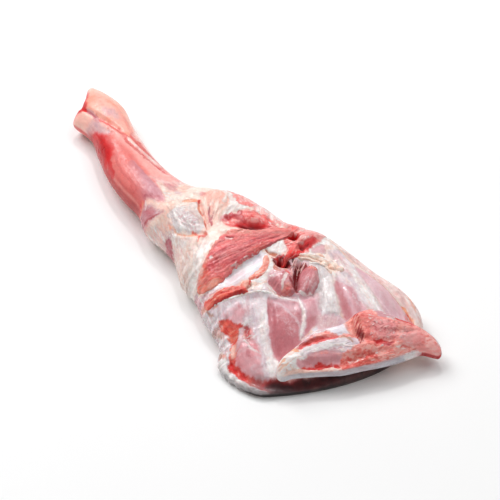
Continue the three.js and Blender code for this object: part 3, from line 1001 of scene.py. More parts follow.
def weld(points: Array, rows: int, columns: int) -> tuple[Array, Array, list[list[int]]]:
    """Joins the places of a grid of closed rings into a closed mesh.

    Places that coincide are one vertex, so that an end that closes in a point or a line is closed. A four-
    sided face that loses a corner by it becomes three-sided, and one that loses two goes.

    Args:
        points: the places, one row each, ring after ring.
        rows: how many rings.
        columns: how many places a ring has.

    Returns:
        The vertices, the index of the place that each vertex comes from, and the faces.
    """
    rounded = np.round(points, WELD_DECIMALS)
    _, first, inverse = np.unique(rounded, axis=0, return_index=True, return_inverse=True)
    index = inverse.ravel().reshape(rows, columns)
    after = np.roll(index, -1, axis=1)
    quads = np.stack([index[:-1], after[:-1], after[1:], index[1:]], axis=-1).reshape(-1, 4)
    repeats = quads == np.roll(quads, -1, axis=1)
    whole = quads[repeats.sum(1) == 0]
    cut = quads[repeats.sum(1) == 1]
    kept = ~repeats[repeats.sum(1) == 1]
    triangles = cut[kept].reshape(-1, 3)
    lost = (triangles[:, 0] == triangles[:, 1]) | (triangles[:, 1] == triangles[:, 2])
    lost |= triangles[:, 2] == triangles[:, 0]
    triangles = triangles[~lost]
    whole = whole[(whole[:, 0] != whole[:, 2]) & (whole[:, 1] != whole[:, 3])]
    vertices = points[first]
    fans = np.concatenate([triangles, whole[:, [0, 1, 2]], whole[:, [0, 2, 3]]])
    a, b, c = (vertices[fans[:, i]] for i in range(3))
    if np.einsum("ij,ij->i", a, np.cross(b, c)).sum() < 0:
        whole, triangles = whole[:, ::-1], triangles[:, ::-1]
    return vertices, first, whole.tolist() + triangles.tolist()


def piece_of(name: str, grid: Grid, canvas: Canvas, material: bpy.types.Material) -> None:
    """Makes a finished piece, which rides on the leg's body and stands for its solid.

    Args:
        name: the piece's name.
        grid: its surface, in the tables' millimetres.
        canvas: the colour, wetness and strands of each of its places.
        material: its finish.
    """
    rows, columns = grid.level.shape
    vertices, first, faces = weld(grid.points.reshape(-1, 3), rows, columns)
    moved = (vertices - np.array([*MIDDLE, 0.0])) * MILLIMETRE
    mesh = bpy.data.meshes.new(name)
    mesh.from_pydata(moved.tolist(), [], faces)
    mesh.update()
    mesh.polygons.foreach_set("use_smooth", np.ones(len(faces), bool))
    tissue = mesh.attributes.new("tissue", "FLOAT_COLOR", "POINT")
    light = linear(np.clip(canvas.colour[first], 0, 1))
    tissue.data.foreach_set("color", np.column_stack([light, np.ones(len(first))]).astype(np.float32).ravel())
    film = mesh.attributes.new("film", "FLOAT_VECTOR", "POINT")
    films = np.column_stack([canvas.wet, canvas.threads, canvas.lumps])[first]
    film.data.foreach_set("vector", films.astype(np.float32).ravel())
    grain = mesh.attributes.new("grain", "FLOAT_VECTOR", "POINT")
    grain.data.foreach_set("vector", canvas.grain[first].astype(np.float32).ravel())
    mesh.materials.append(material)
    piece = bpy.data.objects.new(name, mesh)
    bpy.context.scene.collection.objects.link(piece)
    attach(piece, BODY)
    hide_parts(NODE)
    log.info("%s: %d faces, up to %.1f mm", name, len(faces), vertices[:, 2].max())


# Finishes


class Signal:
    """One number of a material that changes over the surface. Python's operators add Math nodes."""

    def __init__(self, tree: "Tree", socket: bpy.types.NodeSocket) -> None:
        """Wraps an output socket of a tree."""
        self.tree = tree
        self.socket = socket

    def math(self, operation: str, *values: "Signal | float") -> "Signal":
        """A Math node of an operation on some values."""
        made = self.tree.node("ShaderNodeMath", {"operation": operation}, dict(enumerate(values)))
        return Signal(self.tree, made.outputs[0])

    def __add__(self, other: "Signal | float") -> "Signal":
        """The sum."""
        return self.math("ADD", self, other)

    def __radd__(self, other: float) -> "Signal":
        """The sum, from the right."""
        return self.math("ADD", other, self)

    def __sub__(self, other: "Signal | float") -> "Signal":
        """The difference."""
        return self.math("SUBTRACT", self, other)

    def __rsub__(self, other: float) -> "Signal":
        """The difference from a number."""
        return self.math("SUBTRACT", other, self)

    def __mul__(self, other: "Signal | float") -> "Signal":
        """The product."""
        return self.math("MULTIPLY", self, other)

    def __rmul__(self, other: float) -> "Signal":
        """The product, from the right."""
        return self.math("MULTIPLY", other, self)

    def size(self) -> "Signal":
        """The number without its sign."""
        return self.math("ABSOLUTE", self)

    def above(self, low: float, high: float) -> "Signal":
        """A smooth rise from 0 at low to 1 at high."""
        made = self.tree.node(
            "ShaderNodeMapRange",
            {"interpolation_type": "SMOOTHSTEP"},
            {"Value": self, "From Min": low, "From Max": high, "To Min": 0.0, "To Max": 1.0},
        )
        return Signal(self.tree, made.outputs[0])


@dataclass(frozen=True)
class Pattern:
    """A noise of a material: its lumps to a unit, how fine and how rough it is, and how much it is twisted.

    stretch is what its place is multiplied by first, along and across the grain.
    """

    scale: float = 1.0
    detail: float = 3.0
    roughness: float = 0.6
    twist: float = 0.0
    stretch: tuple[float, float, float] | None = None


class Tree:
    """The nodes of one material."""

    def __init__(self, material: bpy.types.Material) -> None:
        """Clears the material's nodes."""
        material.use_nodes = True
        self.tree = material.node_tree
        self.tree.nodes.clear()

    def node(self, kind: str, settings: dict[str, object], values: dict[str | int, object]) -> bpy.types.Node:
        """One node.

        Args:
            kind: the node's type.
            settings: what is set on the node itself, before its sockets.
            values: for each input, by name or number, a plain value, a Signal or an output socket to link.

        Returns:
            The node.
        """
        made = self.tree.nodes.new(kind)
        for key, value in settings.items():
            setattr(made, key, value)
        for key, value in values.items():
            socket = made.inputs[key]
            if isinstance(value, Signal):
                self.tree.links.new(value.socket, socket)
            elif isinstance(value, bpy.types.NodeSocket):
                self.tree.links.new(value, socket)
            else:
                socket.default_value = value
        return made

    def noise(self, place: bpy.types.NodeSocket, pattern: "Pattern") -> Signal:
        """A pattern of noise from 0 to 1 at places."""
        values = {
            "Vector": self.stretched(place, pattern.stretch) if pattern.stretch else place,
            "Scale": pattern.scale,
            "Detail": pattern.detail,
            "Roughness": pattern.roughness,
            "Distortion": pattern.twist,
        }
        made = self.node("ShaderNodeTexNoise", {"noise_dimensions": "3D"}, values)
        return Signal(self, made.outputs[0])

    def attribute(self, name: str, kind: str) -> bpy.types.NodeSocket:
        """An attribute of the surface, as its Color or its Vector."""
        return self.node("ShaderNodeAttribute", {"attribute_name": name}, {}).outputs[kind]

    def split(self, vector: bpy.types.NodeSocket) -> tuple[Signal, Signal, Signal]:
        """The three numbers of a vector."""
        made = self.node("ShaderNodeSeparateXYZ", {}, {0: vector})
        x, y, z = (Signal(self, output) for output in made.outputs)
        return x, y, z

    def stretched(self, vector: bpy.types.NodeSocket, by: tuple[float, float, float]) -> bpy.types.NodeSocket:
        """Places, each coordinate times a number."""
        made = self.node("ShaderNodeVectorMath", {"operation": "MULTIPLY"}, {0: vector, 1: by})
        return made.outputs[0]

    def tinted(self, first: object, second: object, share: Signal) -> bpy.types.NodeSocket:
        """The way from one colour to another by a share."""
        made = self.node("ShaderNodeMix", {"data_type": "RGBA"}, {0: share, 6: first, 7: second})
        return made.outputs[2]


@dataclass(frozen=True)
class WetMeat:
    """The finish of raw meat and fat: the tissue's own colour with strands, pale threads and water.

    coarse and fine are the strands and weave the threads, in millimetres of the grain; mottle and crumb are
    blotches, in metres. The tone is the sum of the patterns, each times how much it does, and the bump is
    made the same way. dark and light multiply the tissue's colour where its tone is lowest and highest.
    """

    name: str
    coarse: Pattern = Pattern(stretch=(0.07, 0.5, 0.0))
    fine: Pattern = Pattern(stretch=(0.2, 1.3, 0.0), detail=2.0)
    weave: Pattern = Pattern(stretch=(0.07, 0.26, 0.0), twist=1.2)
    mottle: Pattern = Pattern(scale=240.0, roughness=0.55)
    crumb: Pattern = Pattern(scale=620.0)
    coarse_tone: float = 1.65
    fine_tone: float = 1.1
    crumb_tone: float = 0.36
    lump_tone: float = 0.6
    dark: tuple[float, float, float] = (0.84, 0.62, 0.62)
    light: tuple[float, float, float] = (1.16, 1.38, 1.38)
    # Where a thread begins and is whole, its colour, and how much of the tissue it hides.
    thread_edge: tuple[float, float] = (0.93, 0.985)
    thread_colour: tuple[float, float, float, float] = (0.92, 0.82, 0.8, 1.0)
    thread_cover: float = 0.65
    # The roughness of dry tissue, how much water takes from it and how much it varies.
    rough: float = 0.46
    wet_gloss: float = 0.26
    rough_range: float = 0.3
    # Where water begins to stand and where it stands fully, how much crumb breaks it up, and its roughness.
    pool_edge: tuple[float, float] = (0.55, 0.9)
    pool_crumb: float = 0.4
    film_rough: float = 0.12
    shine: float = 0.3
    bend_of_light: float = 1.45
    # The height of each pattern as a share of the depth, which is in metres.
    depth: float = 0.0008
    bump: float = 0.8
    fine_height: float = 0.4
    crumb_height: float = 0.25
    lump_height: float = 0.5
    mottle_height: float = 0.5
    thread_height: float = 0.5
    # The share of light that goes through the tissue, how far red, green and blue go, and that length in
    # metres.
    glow: float = 0.06
    glow_reach: tuple[float, float, float] = (1.0, 0.35, 0.25)
    glow_scale: float = 0.004

    def material(self) -> bpy.types.Material:
        """The material, from the three attributes that every piece carries."""
        made = bpy.data.materials.new(self.name)
        tree = Tree(made)
        tissue = tree.attribute("tissue", "Color")
        wet, threads, lumps = tree.split(tree.attribute("film", "Vector"))
        grain = tree.attribute("grain", "Vector")
        _, _, strong = tree.split(grain)
        place = tree.node("ShaderNodeTexCoord", {}, {}).outputs["Object"]
        coarse = tree.noise(grain, self.coarse)
        fine = tree.noise(grain, self.fine)
        weave = tree.noise(grain, self.weave)
        mottle = tree.noise(place, self.mottle)
        crumb = tree.noise(place, self.crumb)
        thread = (1.0 - (weave * 2.0 - 1.0).size()).above(*self.thread_edge) * threads
        tone = (coarse - 0.5) * strong * self.coarse_tone + (fine - 0.5) * strong * self.fine_tone
        tone = tone + (mottle - 0.5) * self.crumb_tone
        tone = tone + (crumb - 0.5) * (self.crumb_tone + lumps * self.lump_tone)
        dark, light = tree.stretched(tissue, self.dark), tree.stretched(tissue, self.light)
        colour = tree.tinted(dark, light, tone + 0.5)
        colour = tree.tinted(colour, self.thread_colour, thread * self.thread_cover)
        rough = self.rough - wet * self.wet_gloss + (mottle - 0.5) * self.rough_range
        film = wet * (mottle + crumb * self.pool_crumb).above(*self.pool_edge)
        height = coarse * strong + fine * strong * self.fine_height + mottle * self.mottle_height
        height = height + crumb * (self.crumb_height + lumps * self.lump_height) + thread * self.thread_height
        relief = {"Strength": self.bump, "Distance": self.depth, "Height": height}
        bumped = tree.node("ShaderNodeBump", {}, relief)
        shader = tree.node(
            "ShaderNodeBsdfPrincipled",
            {"subsurface_method": "RANDOM_WALK"},
            {
                "Base Color": colour,
                "Roughness": rough,
                "IOR": self.bend_of_light,
                "Specular IOR Level": self.shine,
                "Normal": bumped.outputs[0],
                "Coat Weight": film,
                "Coat Roughness": self.film_rough,
                "Subsurface Weight": self.glow,
                "Subsurface Radius": self.glow_reach,
                "Subsurface Scale": self.glow_scale,
            },
        )
        tree.node("ShaderNodeOutputMaterial", {}, {"Surface": shader.outputs[0]})
        return made


@dataclass(frozen=True)
class PaleFloor:
    """The finish of the plain pale floor: two whites in clouds."""

    colour: tuple[float, float, float, float] = (0.93, 0.93, 0.93, 1.0)
    second: tuple[float, float, float, float] = (0.91, 0.91, 0.91, 1.0)
    clouds: Pattern = Pattern(scale=6.0, roughness=0.55)
    rough: float = 0.9

    def material(self) -> bpy.types.Material:
        """A dull white with a trace of unevenness."""
        made = bpy.data.materials.new("pale_floor")
        tree = Tree(made)
        place = tree.node("ShaderNodeTexCoord", {}, {}).outputs["Object"]
        colour = tree.tinted(self.colour, self.second, tree.noise(place, self.clouds))
        shader = tree.node("ShaderNodeBsdfPrincipled", {}, {"Base Color": colour, "Roughness": self.rough})
        tree.node("ShaderNodeOutputMaterial", {}, {"Surface": shader.outputs[0]})
        return made


# The leg's pieces


def covered(
    name: str, grid: Grid, tissue: Tissue, turn: Turn, marks: Marks, seed: int, material: bpy.types.Material
) -> None:
    """Lays a tissue and then its marks on a lump, makes it uneven and turns it into a piece.

    Args:
        name: the piece's name.
        grid: its shape, which is changed.
        tissue: what it is made of.
        turn: the direction of its strands, in degrees from +X, or the place that they fan out from.
        marks: what else is laid on it, one after another.
        seed: where the noise of its lumps and strands starts.
        material: its finish.
    """
    canvas = grid.canvas(tissue, turn)
    for mark in marks:
        mark.lay_on(canvas)
    grid.roughen(canvas, seed)
    piece_of(name, grid, canvas, material)


@dataclass
class LegBody:
    """The body of the leg: the knuckle, the shank, the elbow and the broad end with its pit and its rim."""

    mould: Mould = Mould(
        rows=440, columns=222, crowding=0.85, nose_at_start=14, nose_at_end=6, sunk=2, tear=2.4, torn_from=10
    )
    turn: float = 0.0
    ribs: tuple[Rib, ...] = (
        Rib((-211, 27, 28), (-240, 68, 34), 0, 1, 12),
        Rib((-201, 25, 34), (-212, 72, 39), 0, 1, 4),
        Rib((-190, 25, 36), (-180, 71, 42)),
        Rib((-174, 23, 37), (-156, 62, 39)),
        Rib((-151, 11, 38), (-134, 54, 38)),
        Rib((-121, -2, 40), (-105, 45, 39)),
        Rib((-94, -9, 42), (-74, 40, 42), 0, 0.95),
        Rib((-69, -13, 43), (-45, 40, 46), 1, 0.85),
        Rib((-47, -23, 40), (-22, 50, 48), 4, 0.6),
        Rib((-27, -24, 40), (-3, 60, 50), 6, 0.5),
        Rib((-4, -28, 40), (25, 65, 49), 8, 0.45),
        Rib((22, -43, 36), (53, 66, 47), 12, 0.35),
        Rib((42, -47, 34), (71, 73, 46), 12, 0.3),
        Rib((60, -55, 31), (89, 81, 44), 11, 0.28),
        Rib((79, -60, 26), (116, 83, 40), 11, 0.25),
        Rib((92, -67, 19), (142, 83, 36), 12, 0.2, 1),
        Rib((99, -76, 14), (168, 86, 32), 13, 0.16, 3),
        Rib((112, -80, 11), (187, 84, 26), 12, 0.12, 5),
        Rib((129, -78, 10), (201, 76, 20), 8, 0.1, 11),
        Rib((145, -72, 10), (208, 62, 13), 0, 0.1, 16),
    )
    relief: Relief = (
        # The knuckle and the shank.
        Ridge(((-226, 47), (-200, 38), (-165, 38.6), (-143, 39)), 4.4, -2.6),
        Ridge(((-143, 38), (-120, 36), (-95, 34), (-72, 29)), 6, -1.4),
        Ridge(((-143, 39), (-125, 37), (-100, 36), (-84, 33)), 2.2, 1.0),
        Ridge(((-178, 24), (-162, 28), (-146, 31)), 6, -1.6),
        # The elbow.
        Ridge(((-38, -20), (-36, 5), (-28, 28), (-24, 42)), 9, 1.8),
        Ridge(((-19, 18), (-14, 17), (-8, 13), (2, 7), (14, 3)), 2.6, -1.6),
        Ridge(((-16, -16), (0, -12), (12, -5), (20, -11)), 4, -1.6),
        Mound((-3, 26), 24, 14, -40, 4.5),
        Mound((-8, -1), 17, 13, 0, 2.2),
        Ridge(((-24, -3), (-14, -7), (-3, -6), (6, 0)), 1.8, 0.7),
        Ridge(((-22, -7), (-12, -10), (0, -9), (7, -4)), 1.8, 0.6),
        Ridge(((-21, 2), (-14, -3), (-5, -2), (1, 2)), 1.8, 0.5),
        Ridge(((-14, 27), (-6, 18), (4, 10)), 2.2, -1.2),
        Ridge(((-4, 34), (0, 22), (8, 10)), 2.2, -1.0),
        Ridge(((6, 28), (7, 18), (11, 9)), 2.0, -1.0),
        Mound((13, 36), 9, 8, 0, 2.5),
        Ridge(((20, 20), (13, 26), (12, 34)), 2.5, -2.2),
        Mound((17, -16), 9, 7, 60, -1.2),
        # The red lobes and the hole.
        Mound((28, 41), 26, 15, 10, 4),
        Mound((41, 29), 17, 9, 32, -5),
        Mound((24, 24), 9, 7, 40, 1.6),
        Ridge(((22, 58), (30, 48), (38, 42)), 2.2, -1.2),
        Ridge(((34, 60), (42, 50), (48, 43)), 2.2, -1.0),
        Ridge(((48, 62), (54, 53), (57, 44)), 2.2, -1.2),
        # The cut breast muscle's bed and the membrane beside it.
        Ridge(((20, 6), (36, 19), (50, 30), (62, 46)), 6, 1.4),
        Mound((46, -10), 36, 16, 78, 1.6),
        Ridge(((66, 14), (63, -4), (58, -24)), 7, -3.2),
        Ridge(((68, -44), (80, -22), (91, -10), (104, -3), (118, 5)), 6, 1.6),
        # The pit.
        Mound((84, 19.6), 9, 5, 24, -11),
        Ridge(((66, 20), (73, 19.5), (79, 21)), 2.2, -2.2),
        Mound((98, 8), 17, 11, -15, 3),
        Mound((113, 25), 18, 9, -60, 3),
        Ridge(((94, 34), (98.4, 25), (104, 16.6), (111, 10)), 3.2, -5.5),
        Ridge(((84, 1), (100, -3), (112, 3), (121, 12), (124, 22)), 5, -2.8),
        Mound((82, 56), 22, 11, 78, 3.6),
        Mound((73, 48), 6, 5, 80, -6),
        Mound((85, 44), 4, 8, 10, -3),
        # The broad end.
        Ridge(((101, -12), (118, -27), (142, -46)), 4, -1.8),
        Ridge(((121, 0), (132, -10), (143, -17)), 3.5, 1.4),
        Ridge(((124, 42), (136, 28), (148, 14)), 10, 2.2),
        Ridge(((118, 58), (150, 53), (182, 47)), 7, 1.8),
        Ridge(((112, 70), (150, 73), (180, 71), (200, 65)), 5, -2.4),
        Ridge(((78, -52), (94, -52), (105, -61), (114, -69), (130, -69), (147, -62), (164, -46),
            (184, -20)), 7, -4),
        Ridge(((100, -40), (107, -46), (114, -49)), 2.5, -1.6),
        Mound((123, -22), 28, 18, -36, 2.8),
        Mound((131, 6), 16, 9, -50, 2.2),
        Mound((147, 38), 24, 10, -32, 2.4),
        Mound((166, 63), 38, 8, -5, 2.4),
        Mound((88, -34), 16, 11, -20, 1.8),
        Mound((120, -56), 24, 9, -10, 3.4),
        Mound((92, -50), 12, 5, -5, 2.0),
    )
    shank: Marks = (
        Patch(Tissue.SHANK, ((-252, 10), (-252, 90), (-160, 80), (-60, 60), (-52, 36), (-44, 0), (-50, -30),
            (-120, -20)), -14, 1, 6, 2),
        Patch(Tissue.SHANK_LIGHT, ((-150, 36), (-120, 35), (-62, 29), (-52, 20), (-66, 13), (-120, 26),
            (-148, 30)), -10, 0.85, 8, 0.5),
        # Painted shade: the near side of the shank is laid a darker red.
        Patch(Tissue.SHANK_SHADED, ((-176, 24), (-128, 12), (-84, -4), (-60, -9), (-66, -30),
            (-150, -20)), -14, 0.85, 12, 0.6),
        Patch(Tissue.SHANK_SILVER, ((-108, 18), (-97, 17), (-65, 9.8), (-50, 4.8), (-44, 1), (-52, -4),
            (-62, -7), (-80, -8), (-106, 4)), -18, 0.85, 1.5, 0.2),
        Patch(Tissue.SHANK, ((-126, 24), (-106, 16), (-62, -9), (-90, -14), (-128, 4)), -18, 0.95, 16, 0.5),
        Patch(Tissue.WINDOW, ((-66, -1), (-56, 1), (-47, 1), (-44, -1), (-52, -4), (-62, -6),
            (-68, -5)), -10, 0.6, 4, 1),
        Patch(Tissue.SHANK_LIGHT, ((-165, 70), (-160, 58), (-145, 51), (-120, 44), (-95, 39), (-60, 34),
            (-48, 60), (-120, 80)), -10, 0.9, 3, 1),
        Patch(Tissue.TENDON_AND_HIGHLIGHT, ((-166, 64), (-152, 52), (-140, 46), (-128, 44), (-132, 60)), -20, 0.6, 4, 1),
        Patch(Tissue.KNUCKLE, ((-250, 84), (-246, 60), (-215, 50), (-206, 38), (-180, 38), (-142, 40),
            (-140, 47), (-160, 62), (-178, 74), (-215, 80)), 0, 1, 2.5, 1),
        Patch(Tissue.KNUCKLE_PALE, ((-214, 66), (-200, 60), (-186, 57), (-172, 56), (-150, 51), (-140, 44),
            (-152, 41), (-168, 43), (-192, 49), (-204, 57)), -14, 0.85, 6, 2),
        Patch(Tissue.KNUCKLE, ((-214, 44), (-206, 50), (-196, 49), (-188, 44), (-180, 41),
            (-198, 40)), -14, 0.7, 6, 2),
        Patch(Tissue.KNUCKLE_LOW, ((-216, 20), (-214, 36), (-190, 37), (-154, 33), (-160, 28), (-172, 24),
            (-184, 18), (-200, 12)), 0, 1, 3, 1),
        Patch(Tissue.GREY_SINEW, ((-182, 31), (-170, 33), (-158, 32), (-152, 30), (-160, 26), (-172, 24),
            (-180, 26)), -14, 0.85, 6, 1.5),
        Patch(Tissue.KNUCKLE_PALE, ((-186, 50), (-176, 58), (-162, 56), (-154, 49), (-164, 44),
            (-178, 44)), -20, 0.8, 7, 1.5),
        Patch(Tissue.GREY_SINEW, ((-181, 48), (-176, 53), (-167, 53), (-162, 49), (-168, 45),
            (-176, 44)), -20, 0.75, 6, 1.5),
        Streak(Tissue.SHANK, ((-163, 58), (-156, 54), (-140, 46), (-128, 43)), 1.6, 0.3),
        # The groove of the knuckle, its purple line and the red spots at its end.
        Streak(Tissue.SILVER, ((-203, 37), (-195, 38), (-187, 37.5), (-178, 36),
            (-170, 35.5)), 1.7, 0.7, -0.4, 0.2),
        Streak(Tissue.WINDOW, ((-204, 37), (-196, 38), (-181, 36.8)), 0.8, 0.9, -0.3, 0.2),
        Streak(Tissue.WINDOW, ((-184, 35), (-178, 34), (-172, 33.5)), 0.8, 0.45),
        Streak(Tissue.SHANK, ((-176, 37), (-166, 37), (-141, 38.5)), 2.2, 0.9),
        Streak(Tissue.SHANK_LIGHT, ((-172, 35.5), (-160, 34.5), (-142, 35)), 1.2, 0.7, 0.3),
        Patch(Tissue.WEDGE, ((-222, 57), (-213, 53.6), (-207, 45), (-203.6, 37), (-205, 30), (-204, 23),
            (-214, 20), (-232, 40), (-232, 55)), 60, 0.95, 3.4, 0.5),
        Patch(Tissue.WEDGE, ((-228, 57), (-213, 55), (-206, 46), (-199, 39), (-200, 33), (-206, 27),
            (-218, 24), (-240, 40)), 60, 0.85, 5, 0.6),
        Streak(Tissue.WEDGE, ((-207, 38), (-202, 37.4), (-196, 37.6)), 1.8, 0.9, -0.3),
        Patch(Tissue.KNUCKLE_LOW, ((-213, 4), (-209, 20), (-204, 30), (-190, 35), (-176, 31), (-170, 24),
            (-166, 6)), 0, 0.8, 5, 0.5, 0, -2, 0.9),
        Patch(Tissue.KNUCKLE_PALE, ((-206, 20), (-202, 32), (-190, 33), (-180, 30), (-180, 22),
            (-196, 16)), 0, 0.4, 7, 0.8, 0, 0.3),
        Patch(Tissue.GREY_SINEW, ((-186, 6), (-182, 31), (-170, 33), (-158, 32), (-152, 30), (-160, 22),
            (-168, 6)), -14, 0.75, 7, 0.5, 0, -0.2, 0.9),
        # Painted shade: the lower walls of the knuckle and the shank are laid deep red.
        Patch(Tissue.WEDGE, ((-250, -10), (-250, 60), (-206, 50), (-190, 30), (-170, 26), (-150, 20),
            (-150, -10)), -14, 0.6, 8, 0.5, 0, -2, 0.06),
        # The tendon with a painted highlight of wet light, and the red lines beside it.
        Streak(Tissue.SHANK, ((-138, 36), (-126, 33), (-70, 28.6)), 1.5, 0.9, -0.2),
        Streak(Tissue.SPOT, ((-92, 30.8), (-82, 30), (-73, 28.8)), 1.2, 0.5),
        # Painted highlight: the wet light on the tendon.
        Streak(Tissue.TENDON_AND_HIGHLIGHT, ((-136, 38.4), (-130, 37.8), (-117, 36)), 1.5, 0.85, 0.3, 0.3),
        Streak(Tissue.PINK_FAT, ((-124, 37), (-106, 35), (-84, 33.4)), 1.5, 0.9, 0.3, 0.3),
        Streak(Tissue.TENDON_AND_HIGHLIGHT, ((-114, 36.4), (-104, 35.6), (-94, 35)), 0.7, 0.6, 0.2),
        # The near wall in painted shade, darker red towards its foot, with its thin silver line.
        Patch(Tissue.SHANK_SHADED, ((-178, 24), (-160, 19), (-140, 8), (-110, -1), (-60, -10), (-52, -40),
            (-178, -20)), -14, 0.7, 12, 1, 0, -2, 0.62),
        Patch(Tissue.WALL_SHADE_RED, ((-176, 24), (-160, 17), (-140, 6), (-110, -3), (-66, -12), (-62, -40),
            (-176, -20)), -14, 0.8, 14, 1, 0, -2, 0.34),
        Patch(Tissue.SHANK_SHADED, ((-90, -4), (-76, -8), (-58, -12), (-50, -40),
            (-90, -30)), -14, 0.5, 18, 1, 0, -2, 0.5),
        Patch(Tissue.KNUCKLE_LOW, ((-140, 12), (-110, 0), (-80, -6), (-66, -12), (-80, -24),
            (-140, -4)), -14, 0.55, 3, 0.5, 0, 0.38, 0.46),
        # The deep red wedge under the lower knuckle.
        Patch(Tissue.WEDGE, ((-172, 24), (-163, 25), (-152, 24), (-142, 21.4), (-133, 17), (-129, 9),
            (-130, -12), (-142, -14), (-164, -14), (-176, 4)), -20, 1, 8, 0.8),
        Patch(Tissue.DEEP_RED_AND_SHADE, ((-162, 21), (-150, 19), (-140, 14), (-134, 4), (-140, -12),
            (-164, -12)), -20, 0.6, 8, 0.6),
        Streak(Tissue.WEDGE, ((-134, 9), (-128, 6), (-120, 1), (-112, -2)), 2.6, 0.5),
    )
    elbow: Marks = (
        Patch(Tissue.PINK_FAT, ((-80, 14), (-62, 21), (-54, 27), (-52, 40), (-40, 60), (-20, 40), (-30, 0),
            (-50, -12), (-60, -6), (-46, -1), (-48, 6), (-60, 10)), -14, 0.8, 7, 0.4),
        Patch(Tissue.CREAM_FAT, ((-40, 62), (-48, 26), (-46, 20), (-54, 15), (-66, 12.6), (-44, 2),
            (-34, -12), (-38, -24), (-44, -34), (20, -60), (52, -60), (52, -42), (38, -30), (26, -5), (16,
            25), (30, 80), (-20, 80)), 20, 1, 3.6, 0.5),
        Patch(Tissue.PEACH_FAT, ((-62, -5), (-52, -4), (-42, -1), (-34, 3), (-28, 2), (-26, -6), (-30, -12),
            (-38, -12), (-46, -9), (-58, -9)), -10, 0.8, 4, 0.5),
        Patch(Tissue.PEACH_FAT, ((-44, -16), (-34, -13), (-24, -14), (-18, -18), (-22, -22),
            (-46, -26)), 10, 0.75, 4, 2),
        Patch(Tissue.SILVER, ((-34, -20), (-24, -18), (-16, -22), (-8, -28), (-14, -32),
            (-30, -30)), 20, 0.35, 5, 2),
        Patch(Tissue.WINDOW, ((-59, 16), (-56, 18.4), (-50, 19), (-45, 17), (-46, 14), (-51, 12.4),
            (-56, 13.6)), -14, 0.55, 4, 0.5),
        Patch(Tissue.GREY_SINEW, ((-44, 15), (-38, 16), (-35, 14), (-40, 12.6)), -10, 0.6, 3, 1),
        Veil(Patch(Tissue.WHITE_FAT, ((-52, 8), (-40, 14), (-30, 14), (-26, 8), (-30, 0),
            (-42, 2)), 10, 0.8, 4), 3.5, 3, 0.25),
        # The deep window by the near edge and the red bands before it.
        Patch(Tissue.SILVER, ((-60, -13), (-53, -9), (-43, -8.6), (-36, -10), (-44, -19), (-50, -24),
            (-60, -28)), 35, 0.85, 5, 0.9, -0.2),
        Veil(Patch(Tissue.MEMBRANE, ((-58, -13), (-50, -9), (-38, -9), (-44, -18), (-52, -24),
            (-60, -26)), 45, 0.6, 3, 0.8, 0.1), 2.6, 6, 0.2),
        Patch(Tissue.WINDOW, ((-58, -14), (-52, -11), (-44, -11), (-42, -14.5), (-46, -19), (-51, -22),
            (-58, -24)), 35, 0.6, 4, 0.6),
        Streak(Tissue.MAROON_AND_CREASE_SHADE, ((-38, -11.5), (-46, -18.5), (-51, -22)), 0.9, 0.7),
        Streak(Tissue.ORANGE, ((-64, -9), (-61, -13), (-59, -17)), 1.0, 0.45),
        Streak(Tissue.SPOT, ((-66, -10), (-62, -13), (-60, -18)), 0.9, 0.6),
        Streak(Tissue.WHITE_FAT, ((-62, -7), (-58, -10), (-56, -13)), 0.8, 0.6),
        Patch(Tissue.PINK_FAT, ((-46, -26), (-38, -22), (-24, -22), (-14, -30), (-6, -40), (-12, -56),
            (-44, -44)), -50, 0.7, 5, 1),
        Veil(Patch(Tissue.WHITE_FAT, ((-44, -26), (-36, -18), (-22, -18), (-6, -40), (-14, -54),
            (-40, -42)), -50, 0.9, 4, 0.8, 0.3), 3.4, 7, 0.4),
        Veil(Patch(Tissue.PEACH_FAT, ((-44, -28), (-36, -14), (-22, -14), (-12, -20), (10, -20), (20, -40),
            (-14, -54), (-40, -42)), -50, 0.7, 4, 0.8), 4.5, 6, 0.2),
        # The dome of fascia with its ripples.
        Patch(Tissue.FASCIA, ((-30, 4), (-26, 10), (-17, 18), (-12, 12), (0, 8), (8, 1), (8, -4), (4, -9),
            (-4, -12), (-14, -14), (-22, -12), (-30, -6)), -5, 0.95, 2.5, 1.2),
        Patch(Tissue.BEIGE_FAT, ((-26, 8), (-20, 15), (-17, 17), (-12, 11), (4, 4), (0, 0), (-12, 4),
            (-20, 4)), -5, 0.55, 4, 1.5),
        Patch(Tissue.YELLOW_FAT, ((-36, 2), (-30, 10), (-24, 15), (-20, 16), (-24, 8),
            (-30, 0)), 50, 0.6, 3, 1.5),
        Veil(Patch(Tissue.GREY_SINEW, ((-22, 2), (-12, 6), (0, 2), (4, -4), (0, -10), (-12, -10), (-22, -6)),
            (-6, 12), 0.8, 4, 0.8, -0.3), 2.4, 3, 0.3),
        Veil(Patch(Tissue.WHITE_FAT, ((-30, -3), (-20, 0), (-8, -4), (4, -4), (4, -12), (-10, -14),
            (-26, -11)), -20, 0.8, 3, 0.8, 0.3), 2.4, 6, 0.3),
        Streak(Tissue.WHITE_FAT, ((-28, -3), (-20, -7), (-5, -11)), 1.1, 0.9, 0.7),
        # The seams round the dome.
        Streak(Tissue.ORANGE, ((-29, 10), (-25, 14), (-20, 18), (-17, 19.5)), 1.4, 0.7, -0.1),
        Streak(Tissue.SPOT, ((-18.5, 20), (-15.5, 18)), 1.3, 0.75),
        Streak(Tissue.SEAM_AND_SHADE, ((-17, 19), (-13.5, 15), (-9, 11.5), (-3, 9.3), (3, 6),
            (11, 0)), 0.9, 0.85, -0.6),
        Streak(Tissue.ORANGE, ((-24, -14), (-16, -15.5), (-8, -15), (-1, -13.5), (5, -10.5),
            (9, -7)), 1.3, 0.75, -0.4),
        Patch(Tissue.EXPOSED, ((2, -9.5), (7, -7), (10, -4), (15, -3), (12.5, -6), (13, -9), (12, -13),
            (10, -10), (6, -9)), 20, 0.85, 1.6, 1, -0.5),
        # The fan of fat lobes.
